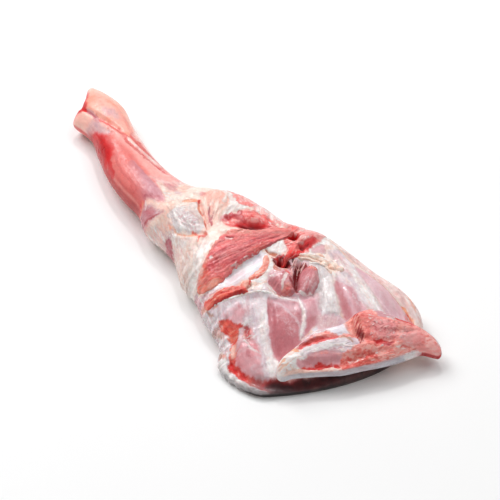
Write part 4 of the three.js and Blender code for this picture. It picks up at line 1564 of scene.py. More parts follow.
        Patch(Tissue.LOBE_FAT, ((-18, 21), (-21, 26), (-20, 31), (-8, 43), (-2, 42), (3, 36), (11, 18),
            (14, 9), (8, 4), (-9, 12.5)), (13, 3), 1, 1.6, 0.8, 0.3),
        Veil(Patch(Tissue.CREAM_FAT, ((-16, 24), (-14, 36), (-4, 41), (6, 28), (13, 10), (4, 8), (-8, 14)),
            (13, 3), 0.9, 2, 0.6, 0.4), 2.6, 6, 0.35),
        Streak(Tissue.WINDOW, ((-3, 18), (1, 13.5), (8, 7.5)), 0.55, 0.85, -0.9),
        Streak(Tissue.WINDOW, ((3, 18), (5, 14), (7.5, 9.5)), 0.55, 0.8, -0.9),
        # Painted shade in the corner where the creases meet.
        Streak(Tissue.MAROON_AND_CREASE_SHADE, ((7.5, 9), (10, 7.6), (12.6, 6.4)), 1.3, 0.95, -1.0),
        Patch(Tissue.WINDOW, ((-24, 26), (-22, 29), (-19, 28), (-21, 25)), 40, 0.45, 2, 1),
        Streak(Tissue.WHITE_FAT, ((-12, 40), (-7, 42), (-2, 38), (2, 30)), 1.3, 0.6, 0.4),
        # The low fat beside the dome, down to the near edge.
        Patch(Tissue.BEIGE_FAT, ((-22, -18), (0, -15), (8, -13), (18, -16), (24, -24), (28, -36), (30, -54),
            (-20, -54), (-10, -30)), -50, 0.8, 5, 2),
        Patch(Tissue.WHITE_FAT, ((14, -6), (20, -6), (26, -4), (30, -22), (40, -44), (30, -44), (20, -22),
            (15, -14)), -65, 0.8, 4, 1.5, 0.3),
        Patch(Tissue.WHITE_FAT, ((-20, -16), (-8, -17), (2, -16), (6, -22), (-4, -26),
            (-14, -22)), -35, 0.6, 5, 1.5),
        Veil(Patch(Tissue.WHITE_FAT, ((-16, -16), (10, -14), (26, -20), (34, -44),
            (10, -50)), -50, 0.75, 5, 1, 0.4), 4, 2.5, 0.3),
        Veil(Patch(Tissue.BEIGE_FAT, ((-12, -18), (10, -16), (24, -24), (30, -50),
            (10, -52)), -50, 0.85, 5, 1, -0.5), 3.5, 3, 0.22),
        Veil(Patch(Tissue.GREY_SINEW, ((-6, -18), (12, -16), (20, -30), (10, -40),
            (-2, -30)), -60, 0.5, 5, 1, -0.3), 5, 2, 0.22),
        Patch(Tissue.WINDOW, ((-18, -21.5), (-13.5, -21), (-4, -27.5), (-1, -31), (-3, -33),
            (-16, -25.5)), -38, 0.95, 1.4, 0.6, -0.5),
        Streak(Tissue.MAROON_AND_CREASE_SHADE, ((-12, -23), (-7, -26.5), (-2.5, -30)), 0.7, 0.6, -0.3),
        Veil(Patch(Tissue.GREY_SINEW, ((-24, -13), (-16, -14), (-12, -20), (-20, -24),
            (-26, -20)), 60, 0.7, 3, 1, -0.3), 2.5, 3, 0.3),
    )
    lobes: Marks = (
        Patch(Tissue.WHITE_FAT, ((-12, 44), (-4, 42), (3, 37), (8, 30), (12, 20), (15, 9), (19, 8), (15, 26),
            (19, 34), (24, 38), (22, 46), (10, 56), (0, 60), (-12, 54)), (13, 3), 0.9, 2, 1, 0.4),
        Patch(Tissue.LOBE, ((-8, 47), (-2, 47), (4, 44), (9, 40), (15, 38.5), (20, 40), (26, 44), (28, 50),
            (20, 57), (10, 55)), -40, 0.95, 1.8, 1),
        Veil(Patch(Tissue.PALE_LOBE, ((-6, 50), (8, 42), (18, 40), (28, 48), (20, 58),
            (6, 56)), -40, 0.8, 2, 1, 0.3), 2.4, 3, 0.22),
        Patch(Tissue.PALE_LOBE, ((16, 66), (16, 58), (24, 52), (28, 46), (32, 43), (62, 49), (70, 57),
            (66, 70), (40, 78)), -50, 0.95, 2.5, 1),
        Patch(Tissue.COVER, ((-16, 46), (-8, 52), (6, 58), (40, 70), (60, 76), (60, 90),
            (-20, 80)), -20, 0.7, 3, 1),
        # The lobes about the hole.
        Patch(Tissue.LOBE, ((14, 15), (15, 24), (19, 32), (25, 38), (33, 43), (44, 46), (54, 46), (56, 42),
            (38, 22), (24, 13), (17, 11)), 35, 1, 1.5, 0.8),
        Patch(Tissue.MAROON_AND_CREASE_SHADE, ((13.5, 17), (14, 24), (17, 30), (21, 33), (24, 31), (20, 20),
            (17, 15)), 60, 0.9, 2, 1, 0.2),
        Patch(Tissue.MAROON_AND_CREASE_SHADE, ((20, 26), (24, 31), (31, 31), (33, 28), (28, 24),
            (22, 23)), 20, 0.7, 3, 1, -0.4),
        Veil(Patch(Tissue.PALE_LOBE, ((36, 38), (42, 44), (53, 46), (56, 42),
            (50, 37)), 20, 0.9, 2, 1, 0.4), 1.8, 2.2, 0.3, False),
        Veil(Patch(Tissue.WEDGE, ((20, 24), (26, 34), (40, 42), (50, 42), (46, 36),
            (28, 24)), 20, 0.5, 3, 1, -0.3), 2.6, 3, 0.25),
        Streak(Tissue.WINDOW, ((14, 14), (13.4, 20), (15, 26)), 1.0, 0.6),
        # Painted shade round and in the hole among the red lobes.
        Patch(Tissue.WEDGE, ((28, 19), (30, 26), (35, 31), (48, 39), (54, 38), (54, 34), (48, 28),
            (36, 19)), 40, 0.85, 4.5, 0.3),
        Patch(Tissue.DARK_SHADE, ((31, 21), (35, 27), (40, 31.6), (46, 35), (51, 34), (48, 28),
            (36, 20)), 40, 0.85, 3.6, 0.2, -0.2),
        # Painted shade along the crease at the edge of the breast muscle.
        Streak(Tissue.MAROON_AND_CREASE_SHADE, ((50, 38), (56, 42), (64, 48)), 0.7, 0.8, -0.8),
        Patch(Tissue.CREAM_FAT, ((14, 9), (16, 14), (22, 13), (36, 19), (34, 15), (28, 9),
            (22, 6)), 25, 0.9, 1.8, 1, 0.3),
    )
    bed: Marks = (
        # The membrane beside the breast muscle, the curl's bed and the fat between them and the pit.
        Patch(Tissue.PINK_MEMBRANE, ((40, -62), (42, -44), (50, -44), (60, -30), (64, -38), (66, -50),
            (62, -64)), 55, 1, 2, 0.8),
        Veil(Patch(Tissue.WHITE_FAT, ((48, -46), (56, -36), (60, -32), (62, -42),
            (58, -50)), 55, 0.9, 2, 0.8, 0.3), 2, 4, 0.3),
        Patch(Tissue.BLUE_MEMBRANE, ((56, -36), (62, 8), (65, 16), (72, 15), (75, 8), (76, 0), (74, -8),
            (71, -15), (69, -24), (62, -32)), 72, 1, 1.6, 0.6),
        Patch(Tissue.SILVER, ((60, -26), (61, -14), (64, -8), (69, -10), (70, -20),
            (66, -26)), 72, 0.35, 5, 1),
        Patch(Tissue.WHITE_FAT, ((63, 20), (66, 30), (71, 39), (76, 38), (78, 33), (77, 26), (75, 22.6),
            (70, 20)), -60, 1, 1.2, 0.6, 0.4),
        Streak(Tissue.SEAM_AND_SHADE, ((65.6, 19), (69, 19.4), (76.4, 23)), 0.9, 0.9, -0.8),
        Patch(Tissue.WHITE_FAT, ((74, -18), (79, 4), (77, 12), (74, 18), (78, 21), (82, 16), (86, 14),
            (86, 2), (92, -3), (100, -4), (108, -1), (114, 6), (118, 4), (108, -4), (88, -15), (80,
            -24)), 35, 1, 1.8, 0.8, 0.3),
        Veil(Patch(Tissue.CREAM_FAT, ((76, -14), (80, 2), (92, -2), (104, -4),
            (82, -22)), 40, 0.9, 3, 1, 0.5), 3, 4, 0.35),
    )
    pit: Marks = (
        Patch(Tissue.PINK_MEMBRANE, ((84, 30), (90, 36), (98, 42), (106, 45), (116, 44), (122, 36), (124, 22),
            (118, 8), (108, 0), (92, -2), (84, 3)), 40, 1, 1.8, 0.8),
        # Painted shade: the slot between the two heads is laid dark red, darkest along its middle.
        Patch(Tissue.SLOT_SHADE_RED, ((95, 32), (99, 35), (103, 32), (104, 26), (112, 13), (110, 9), (104, 13),
            (99, 19), (96, 25)), -62, 1, 1.4, 0.5),
        Streak(Tissue.DARK_SHADE, ((97.6, 34), (95, 28), (95.4, 24.6), (98, 21.4), (101, 19)), 1.1, 0.8, -0.8),
        # Painted shade in the cavity beside the spike.
        Patch(Tissue.DARK_SHADE, ((75, 20), (78, 24), (83, 26), (89, 26), (92, 23), (91, 19.6), (85, 17), (79, 16),
            (75, 17)), 20, 0.95, 2, 1.4),
        Veil(Patch(Tissue.SPOT, ((74, 17), (77, 25), (86, 27), (92, 22), (88, 17),
            (80, 15.6)), 70, 0.8, 2, 1, 0.8), 2.4, 2, 0.22, False),
        Veil(Patch(Tissue.GREY_SINEW, ((74, 17), (77, 25), (86, 27), (92, 22), (88, 17),
            (80, 15.6)), -20, 0.7, 2, 1, 0.6), 2.6, 4, 0.14),
        # Painted shade: near black in the deepest part of the cavity, right of the spike.
        Streak(Tissue.BLACK_SHADE, ((86.6, 31.6), (88.6, 30.4), (90, 28)), 1.3, 0.9, -0.6),
        Streak(Tissue.LOBE_FAT, ((78, 15.4), (83, 15.6), (88, 16.8), (91.6, 18.6)), 1.4, 0.95, 0.6),
        Streak(Tissue.SEAM_AND_SHADE, ((81, 13.4), (85, 12.6), (89, 13.4)), 1.0, 0.75, -0.5),
        Streak(Tissue.SPOT, ((91.6, 17.4), (95, 15.8), (99, 13.6)), 1.3, 0.7, 0.3),
        # The far lobe with its hole and the deep band.
        Patch(Tissue.LOBE, ((60, 62), (61, 54), (67, 41), (79, 33), (88, 35), (92, 44), (93, 56), (92, 66),
            (86, 84), (72, 84), (78, 68)), (68, 20), 1, 2, 0.8),
        Veil(Patch(Tissue.PALE_LOBE, ((62, 62), (64, 50), (72, 50), (80, 38), (84, 40), (84, 52), (88, 62),
            (90, 84), (72, 84)), (66, 20), 0.9, 2.5, 0.8, 0.4), 3, 4, 0.4),
        Patch(Tissue.PALE_LOBE, ((66, 70), (68, 58), (76, 56), (84, 60), (90, 66), (94, 76), (90, 88),
            (74, 84)), (66, 20), 0.8, 3, 1),
        # Painted shade in the deep band between the lobes and in the hole beside it.
        Patch(Tissue.WEDGE, ((80.6, 35), (85, 58), (89.6, 58), (90.4, 50), (86, 35)), 82, 0.75, 2, 0.8, -0.6),
        Streak(Tissue.DARK_SHADE, ((84, 38), (86, 44), (87.4, 51)), 1.1, 0.6, -0.6),
        Patch(Tissue.WEDGE, ((69.5, 44), (70, 50), (74, 52), (77.4, 50), (77, 45),
            (73, 42.4)), 60, 0.95, 1.6, 0.7, -1.0),
        Patch(Tissue.DARK_SHADE, ((71, 44.6), (72, 48.6), (75.4, 48.4), (75.6, 45),
            (73, 43.4)), 60, 0.9, 1.6, 0.6, -1.0),
        Streak(Tissue.SPOT, ((65, 42), (68, 41), (70, 42)), 1.6, 0.9, -0.5),
        Streak(Tissue.CUT_LIGHT, ((72, 41.4), (77, 41), (80, 44), (81, 50)), 1.1, 0.7, 0.5),
        # The yellowish fat with the long strand, and the white fat over it.
        Patch(Tissue.WHITE_FAT, ((88, 92), (90, 72), (91, 45), (97, 45), (120, 52), (130, 54),
            (136, 92)), 25, 1, 1.8, 1),
        Patch(Tissue.CREAM_FAT, ((96, 64), (100, 54), (110, 54), (122, 56), (124, 62),
            (112, 66)), 25, 0.8, 4, 1.5),
        Patch(Tissue.PINK_MEMBRANE, ((92, 50), (93, 60), (100, 60), (102, 54), (97, 50)), 70, 0.8, 2.5, 1),
        Streak(Tissue.SEAM_AND_SHADE, ((96, 42.4), (102, 46), (108, 48)), 0.9, 0.6, -0.4),
        # Painted shade between the fat lumps that lie over it.
        Patch(Tissue.BROWN, ((109, 48.4), (114, 51), (120, 52), (123, 50.4), (119, 47.6),
            (113, 46.4)), 20, 0.4, 2, 0.8, -0.8),
        Patch(Tissue.WHITE_FAT, ((100, 38), (102, 44), (108, 46), (124, 46), (126, 40),
            (110, 36)), 15, 0.85, 2, 1, 0.3),
        Patch(Tissue.WHITE_FAT, ((86, 32), (92, 39), (106, 47), (104, 43), (92, 33)), 45, 0.8, 1.6, 0.6),
    )
    near_side: Marks = (
        Patch(Tissue.MEMBRANE, ((56, -70), (60, -50), (72, -35), (84, -17), (92, -10), (100, -10), (126, -34),
            (140, -42), (160, -60), (142, -72), (120, -78), (100, -76), (80, -68)), -38, 1, 2, 1),
        Veil(Patch(Tissue.GREY_SINEW, ((62, -60), (70, -40), (84, -20), (96, -14), (106, -22), (100, -40),
            (90, -50)), -40, 0.4, 5, 1), 5, 2.5, 0.3),
        Patch(Tissue.PINK_MEMBRANE, ((77, -48), (80, -40), (84, -34), (91, -32), (94, -36), (95, -42),
            (90, -45)), -38, 0.95, 3, 1.5),
        Patch(Tissue.PAD, ((84, -42), (88, -34), (92, -35), (94, -41), (88, -44)), -38, 0.6, 3, 1),
        Patch(Tissue.PAD, ((102, -42), (106, -36), (113, -34), (116, -38), (112, -44),
            (106, -48)), -45, 0.6, 3, 1.5),
        Patch(Tissue.CUT_END, ((98, -44), (100, -40), (105, -40), (109, -44), (111, -49), (108, -52),
            (103, -50), (99.4, -47)), -45, 0.55, 3, 1, -0.2),
        Patch(Tissue.MAROON_AND_CREASE_SHADE, ((99.4, -41), (102, -39), (108, -45.6), (107, -48.6),
            (101, -43.6)), -45, 0.6, 2.4, 0.8, -0.3),
        Veil(Patch(Tissue.WHITE_FAT, ((94, -44), (98, -34), (108, -34), (113, -44), (110, -52),
            (101, -50)), 44, 0.9, 3, 1, 0.3), 1.8, 6, 0.25),
        # The pads under the membrane.
        Patch(Tissue.PAD, ((80, -36), (88, -28), (96, -22), (100, -26), (94, -34),
            (88, -40)), -38, 0.35, 5, 1.5),
        Patch(Tissue.PAD, ((103, -52), (114, -44), (122, -42), (130, -44), (136, -52), (146, -58), (148, -63),
            (126, -69), (114, -68), (108, -62)), -20, 1, 3, 1),
        Streak(Tissue.BLADE_DEEP, ((113, -53), (118, -57), (122, -58)), 1.3, 0.6),
        Veil(Patch(Tissue.MEMBRANE, ((102, -52), (112, -44), (126, -42), (136, -52), (146, -60), (130, -67),
            (112, -64)), 35, 0.3, 3, 1, 0.0), 7, 3, 0.3),
        Streak(Tissue.WHITE_FAT, ((104, -51), (110, -50), (116, -52), (124, -49)), 0.8, 0.7, 0.4),
        # The pale band between the pads and the blade muscle.
        Patch(Tissue.MEMBRANE, ((90, -24), (98, -14), (104, -18), (112, -26), (132, -41), (142, -44),
            (150, -52), (154, -60), (146, -63), (136, -59), (126, -50), (102, -36)), -36, 0.9, 4.5, 0.8, 0.2),
        Patch(Tissue.WHITE_FAT, ((100, -18), (118, -33), (136, -44), (130, -48), (118, -41),
            (106, -32)), -36, 0.7, 4, 0.6, 0.2),
        Patch(Tissue.WHITE_FAT, ((132, -48), (138, -44), (144, -46), (156, -60), (150, -64), (143, -58),
            (136, -54)), -50, 0.85, 3, 1, 0.3),
        # Where the membrane is torn and the red shows.
        Patch(Tissue.EXPOSED, ((78, -53), (79.5, -49.5), (96.6, -42.8), (97, -46), (101, -53), (100, -56.4),
            (96, -57), (92, -55.4), (81, -55.8)), 30, 1, 1.4, 0.7, 0.3),
        Patch(Tissue.CUT_END, ((91, -54.6), (92, -49), (96, -46), (101, -53.4),
            (99, -56.6)), 60, 0.75, 2.5, 1, -0.2),
        Streak(Tissue.RIM_RED, ((82, -48.6), (93, -44.8), (97, -43)), 1.0, 0.9, -0.4),
        Streak(Tissue.EXPOSED, ((100, -55), (105.6, -63), (109.6, -68)), 2.7, 0.95, 0.3),
        Streak(Tissue.PEACH_FAT, ((101, -55), (104.6, -60), (108.4, -65.4)), 1.7, 0.6, 0.2),
        Patch(Tissue.RIM_FAT, ((62, -60), (66, -51), (78, -57), (90, -60), (99, -65), (104, -78),
            (84, -76)), -40, 0.6, 4, 1),
        Streak(Tissue.LOBE_FAT, ((101, -56.6), (103.6, -60.6), (107, -65.6)), 1.5, 0.8, 0.3),
        Streak(Tissue.PINK_MEMBRANE, ((98.6, -44), (101, -48), (106, -58)), 1.8, 0.8, 0.3),
        # The outer near band with its brown lines.
        Patch(Tissue.MEMBRANE, ((58, -70), (60, -52), (70, -51), (78, -56), (98, -60), (104, -68), (108, -78),
            (90, -80)), -30, 0.9, 2, 1),
        Veil(Patch(Tissue.GREY_SINEW, ((60, -58), (72, -52), (100, -62), (104, -76),
            (84, -72)), -40, 0.8, 3, 1, -0.5), 4, 4, 0.25),
        Veil(Patch(Tissue.WHITE_FAT, ((60, -58), (72, -52), (100, -62), (104, -76),
            (84, -72)), -35, 0.9, 3, 1, 0.5), 3.5, 4, 0.25),
        Streak(Tissue.BROWN, ((60, -50.4), (66, -51.6), (71, -51)), 0.7, 0.7, -0.5),
        Streak(Tissue.SEAM_AND_SHADE, ((63, -48), (67, -46.6), (69, -44)), 1.2, 0.5, -0.3),
        Streak(Tissue.BROWN, ((76, -58.6), (82, -59), (88, -58.4)), 0.8, 0.45, -0.4),
        Streak(Tissue.CUT_EDGE, ((78, -56.6), (85, -57.6), (91, -58)), 1.2, 0.35),
        Streak(Tissue.ORANGE, ((56, -50), (59, -51.4), (62, -51)), 1.2, 0.5),
        Patch(Tissue.CUT_EDGE, ((98, -72), (99, -69), (103, -68.6), (105, -71), (102, -73)), 0, 0.7, 2, 1),
        Streak(Tissue.BROWN, ((92, -66), (97, -69), (100, -73), (100, -78)), 1.0, 0.5),
    )
    blade: Marks = (
        # The first blade muscle and the small one beside it.
        Patch(Tissue.BLADE, ((98, -13), (101, -7), (106, -3), (118, 3), (124, 1), (130, -3), (136, -9),
            (141, -17), (148, -24), (150, -42), (139, -43.6), (128, -38.5), (117, -30.5)), -38, 1, 1.2, 0.25),
        Patch(Tissue.BLADE_DEEP, ((112, -22), (122, -16), (134, -16), (142, -24), (146, -40), (138, -42),
            (128, -37), (118, -29)), -38, 0.75, 8, 1),
        Patch(Tissue.BLADE_LIGHT, ((98, -12), (103, -5), (119, 2), (126, -2), (120, -7),
            (108, -12)), -25, 0.9, 5, 0.8),
        Veil(Patch(Tissue.MEMBRANE, ((102, -14), (116, -6), (132, -8), (136, -24), (124, -22),
            (110, -18)), 28, 0.25, 4, 1), 1.6, 14, 0.2),
        Streak(Tissue.MEMBRANE, ((103, -11), (107.6, -9), (114, -8.4), (128, -9.4), (132.4, -10.7),
            (136.6, -12.6), (140, -15.4)), 0.8, 0.45, 0, 0.3),
        Patch(Tissue.MEMBRANE, ((86, -4), (94, -7), (104, -3), (117, 8), (121, 6), (100, -9),
            (92, -12)), 30, 0.8, 3, 0.8, 0.2),
        Patch(Tissue.BLADE_LIGHT, ((114, 9), (118, 15), (126, 18.6), (134, 17), (140, 12), (143, 5),
            (143, -13), (142, -18), (137, -8), (131, -1.4), (125, 3)), -55, 1, 2, 0.5),
        Patch(Tissue.BLADE, ((122, 12), (130, 13), (137, 8), (140, 0), (140, -9), (136, -6), (130, 1),
            (124, 6)), -55, 0.35, 6, 0.8),
        Patch(Tissue.BLADE_DEEP, ((136, 3), (142, 6), (143.4, -4), (143, -15), (141, -17),
            (135, -3)), -60, 0.6, 4, 0.6),
        Streak(Tissue.MEMBRANE, ((115, 8), (121, 5), (128, 0.6), (134, -5.6), (139, -13),
            (142, -19)), 2.2, 0.6, 0.1, 0.3),
        Streak(Tissue.WHITE_FAT, ((115, 8), (128, 0.2), (134, -6), (139, -13),
            (142, -19)), 1.1, 0.9, 0.3, 0.4),
        # The white band of fascia and the bluish hollow before it.
        Patch(Tissue.FASCIA, ((104, 38), (112, 45), (120, 44), (142, 27.6), (150, 23), (152, 17), (144, 12),
            (136, 12), (120, 23)), -42, 1, 5, 0.5),
        Patch(Tissue.PINK_MEMBRANE, ((110, 28), (116, 30), (132, 17), (130, 14), (120, 18),
            (114, 22)), -42, 0.6, 4, 0.8),
        Veil(Patch(Tissue.WHITE_FAT, ((106, 36), (116, 42), (132, 32), (148, 20),
            (138, 14)), -42, 0.5, 4, 0.6, 0.2), 2.0, 9, 0.25),
        Patch(Tissue.BLUE_MEMBRANE, ((139, 12), (146, 15), (152, 20), (160, 20), (166, 14), (162, 6),
            (145, -6), (144, 4)), -60, 1, 2.4, 0.8),
        Patch(Tissue.SILVER, ((141, 10), (148, 16), (158, 20), (165, 14), (160, 6), (150, 0),
            (145, 0)), -60, 0.6, 5, 0.8),
        Patch(Tissue.GREY_SINEW, ((140, 6), (146, 14), (156, 19), (164, 14), (160, 4),
            (148, -2)), -60, 0.75, 4, 0.8),
        Veil(Patch(Tissue.WHITE_FAT, ((140, 12), (152, 18), (162, 12), (152, 0),
            (144, 0)), -55, 0.4, 3, 0.8), 3.0, 3, 0.22),
        # The second muscle, with its film of membrane.
        Patch(Tissue.BLADE_LIGHT, ((126, 45), (130, 48), (138, 48), (157, 43.6), (166, 40), (170, 32),
            (164, 22), (158, 20), (138, 32), (131, 37.4)), -35, 1, 3.6, 0.5),
        Patch(Tissue.BLADE_DEEP, ((129, 40), (134, 40), (158, 28), (164, 22), (158, 20), (138, 31.6),
            (132, 36)), -36, 0.85, 3.6, 0.5),
        Patch(Tissue.BLADE, ((134, 43), (142, 41), (160, 32), (162, 38), (140, 46)), -36, 0.5, 5, 0.8),
        Patch(Tissue.MEMBRANE, ((122, 50), (126, 53), (140, 47), (134, 44), (126, 43)), -30, 0.7, 5, 0.8),
        Veil(Patch(Tissue.MEMBRANE, ((128, 48), (146, 47), (160, 42), (154, 36),
            (140, 40)), -32, 0.6, 4, 1), 2.6, 6, 0.3),
        # The pale band and the third muscle.
        Patch(Tissue.MEMBRANE, ((104, 58), (114, 57), (124, 53), (148, 46), (162, 43), (190, 46), (192, 50),
            (178, 50), (137, 62.6), (110, 68)), -16, 1, 4, 0.6, 0.2),
        Patch(Tissue.PINK_FAT, ((106, 60), (130, 54), (136, 56), (128, 61), (116, 65)), -16, 0.5, 4, 0.8),
        Patch(Tissue.WHITE_FAT, ((124, 60), (136, 55), (162, 46), (168, 48), (138, 60)), -16, 0.95, 5, 0.6),
        Veil(Patch(Tissue.WHITE_FAT, ((108, 62), (130, 54), (160, 46), (178, 46), (180, 50), (156, 56),
            (130, 64)), -16, 0.85, 3, 0.8, 0.2), 2.4, 8, 0.3),
        Patch(Tissue.BLADE_LIGHT, ((130, 65), (138, 68), (148, 69.4), (170, 68.6), (190, 64.4), (196, 60),
            (196, 50), (190, 47), (182, 49), (170, 53.6)), -12, 1, 2.4, 0.4),
        Patch(Tissue.BLADE, ((152, 66), (168, 65.6), (182, 63), (188, 58), (178, 58),
            (166, 60)), -14, 0.3, 5, 0.8),
        Patch(Tissue.MEMBRANE, ((130, 64), (146, 68), (170, 66), (190, 56), (180, 50),
            (146, 61)), -14, 0.35, 6, 0.6),
        Patch(Tissue.SILVER, ((170, 58), (182, 56), (194, 52), (196, 46), (182, 50)), -14, 0.6, 4, 0.8),
        Streak(Tissue.CUT_EDGE, ((140, 68.6), (152, 69.8), (166, 69.2), (180, 67)), 0.7, 0.5, 0, 0.2),
        # The far edge of fat.
        Patch(Tissue.CREAM_FAT, ((92, 74), (110, 69), (124, 67), (134, 67.6), (146, 70.4), (160, 70.6),
            (174, 69.4), (212, 62), (210, 90), (150, 98), (100, 96)), -6, 1, 1.6, 0.5),
        Patch(Tissue.WHITE_FAT, ((96, 78), (112, 72), (130, 70), (150, 72), (170, 71.6), (184, 69.6),
            (196, 70), (184, 80), (110, 88)), -6, 0.9, 4, 1),
        Patch(Tissue.PINK_FAT, ((100, 78), (120, 70), (170, 72), (186, 69), (204, 72), (200, 88), (140, 92),
            (100, 90)), -8, 0.7, 4, 1),
        Veil(Patch(Tissue.WHITE_FAT, ((96, 76), (120, 69), (140, 71), (170, 72), (186, 69), (204, 72),
            (200, 88), (140, 92), (100, 90)), -8, 0.5, 3, 1), 6, 3, 0.3),
        Streak(Tissue.ORANGE, ((168, 84), (176, 82), (184, 79), (192, 75)), 1.1, 0.6),
        Streak(Tissue.ORANGE, ((181, 68), (186, 68), (197, 66.6)), 1.8, 0.9, 0.2),
        Streak(Tissue.SPOT, ((187, 66.4), (194, 65.4), (200, 64)), 1.0, 0.7),
        Streak(Tissue.LOBE, ((190, 63), (197, 62.4), (204, 60.6)), 1.6, 0.7),
    )
    rim: Marks = (
        Patch(Tissue.RIM_FAT, ((96, -92), (98, -74), (104, -70.6), (114, -75), (137, -71.4), (143, -69),
            (150, -64.4), (172, -42), (196, -6), (206, 14), (240, 20), (220, -60), (170,
            -92)), -30, 1, 1.4, 0.5),
        Patch(Tissue.RIM_RED, ((107, -68), (109, -65), (119, -68), (136, -64.4), (144, -60), (152, -53),
            (172, -32), (182, -24), (177, -38), (158, -58), (150, -64.4), (142, -69), (118, -74), (111,
            -73.4)), -20, 1, 1.4, 0.7, -0.5),
        Streak(Tissue.WEDGE, ((109.6, -69.6), (113, -71), (118, -71)), 1.7, 0.85, -0.5),
        # Painted shade: the red band darkens towards the gap under the flap, and the gap itself is laid near
        # black.
        Patch(Tissue.WEDGE, ((140, -68), (144, -60), (160, -44), (176, -30), (178, -40), (168, -50),
            (150, -64)), -40, 0.75, 6, 0.5),
        Patch(Tissue.BLACK_SHADE, ((144, -64), (147, -58), (158, -48), (166, -38), (190, 0), (200, 20), (212, 34),
            (206, 14), (196, -6), (177, -38), (166, -50), (150, -64.6)), -45, 0.95, 5, 0.5),
        Patch(Tissue.BLACK_SHADE, ((152, -58), (190, 2), (202, 24), (208, 18), (186, -22), (172, -42),
            (160, -55)), -45, 0.8, 5, 0.5),
        # Painted shade: the outer wall of the rim turns from white through grey to near black along the leg.
        Patch(Tissue.RIM_GREY_SHADE, ((112, -94), (112, -70), (150, -62), (180, -30), (210, 20), (240, 20),
            (220, -70)), -40, 0.75, 18, 0.4, 0, -2, 0.5),
        Patch(Tissue.RIM_GREY_SHADE, ((136, -94), (134, -66), (150, -60), (180, -30), (210, 20), (240, 20),
            (220, -70)), -40, 0.7, 12, 0.4),
        Patch(Tissue.RIM_SHADE, ((156, -94), (153, -66), (162, -54), (174, -41), (188, -20), (204, 12),
            (240, 20), (220, -70)), -45, 0.75, 12, 0.4),
        Patch(Tissue.RIM_SHADE, ((138, -94), (138, -60), (156, -52), (172, -30), (190, 0), (206, 30),
            (240, 20), (220, -70)), -45, 0.8, 14, 0.4, 0, -2, 0.1),
        # Painted shade: the end of the rim under the flap is laid brown-red.
        Patch(Tissue.SEAM_AND_SHADE, ((180, -40), (184, -26), (200, 8), (206, 24), (210, 50), (240, 50),
            (240, -40)), 60, 0.7, 8, 0.5),
        Patch(Tissue.COVER, ((-260, -100), (-260, 100), (240, 100), (240, -100)), 0, 1, 3, 1, 0, -2.0, -0.7),
    )

    def build(self, material: bpy.types.Material) -> Ground:
        """Makes the body.

        Args:
            material: the finish of meat.

        Returns:
            The height of its upper side, on which the other pieces lie.
        """
        grid = loft(self.ribs, self.mould, self.relief)
        marks = self.shank + self.elbow + self.lobes + self.bed
        marks = marks + self.pit + self.near_side + self.blade + self.rim
        covered("leg_body", grid, Tissue.CREAM_FAT, self.turn, marks, Seed.BODY, material)
        return Ground(grid)


# How far the middles of a comb's teeth are moved to one side and the other, in millimetres.
COMB_WAVE = 0.6


def comb(
    tissue: Tissue, start: Point, step: Point, tooth: Point, count: int, half: float, cover: float
) -> Marks:
    """A row of short streaks side by side, like the teeth of a comb, with their middles a little out of line.

    Args:
        tissue: what the teeth are made of.
        start: where the first tooth begins.
        step: the way from one tooth's beginning to the next one's.
        tooth: the way from a tooth's beginning to its end.
        count: how many teeth there are.
        half: the half width of a tooth, in millimetres.
        cover: how much of what is under it a tooth hides.

    Returns:
        The streaks.
    """
    teeth = []
    for i in range(count):
        begin = np.array(start) + np.array(step) * i
        middle = begin + np.array(tooth) / 2 + ((i % 3 - 1) * COMB_WAVE, 0)
        line = (tuple(begin), tuple(middle), tuple(begin + tooth))
        teeth.append(Streak(tissue, line, half, cover))
    return tuple(teeth)


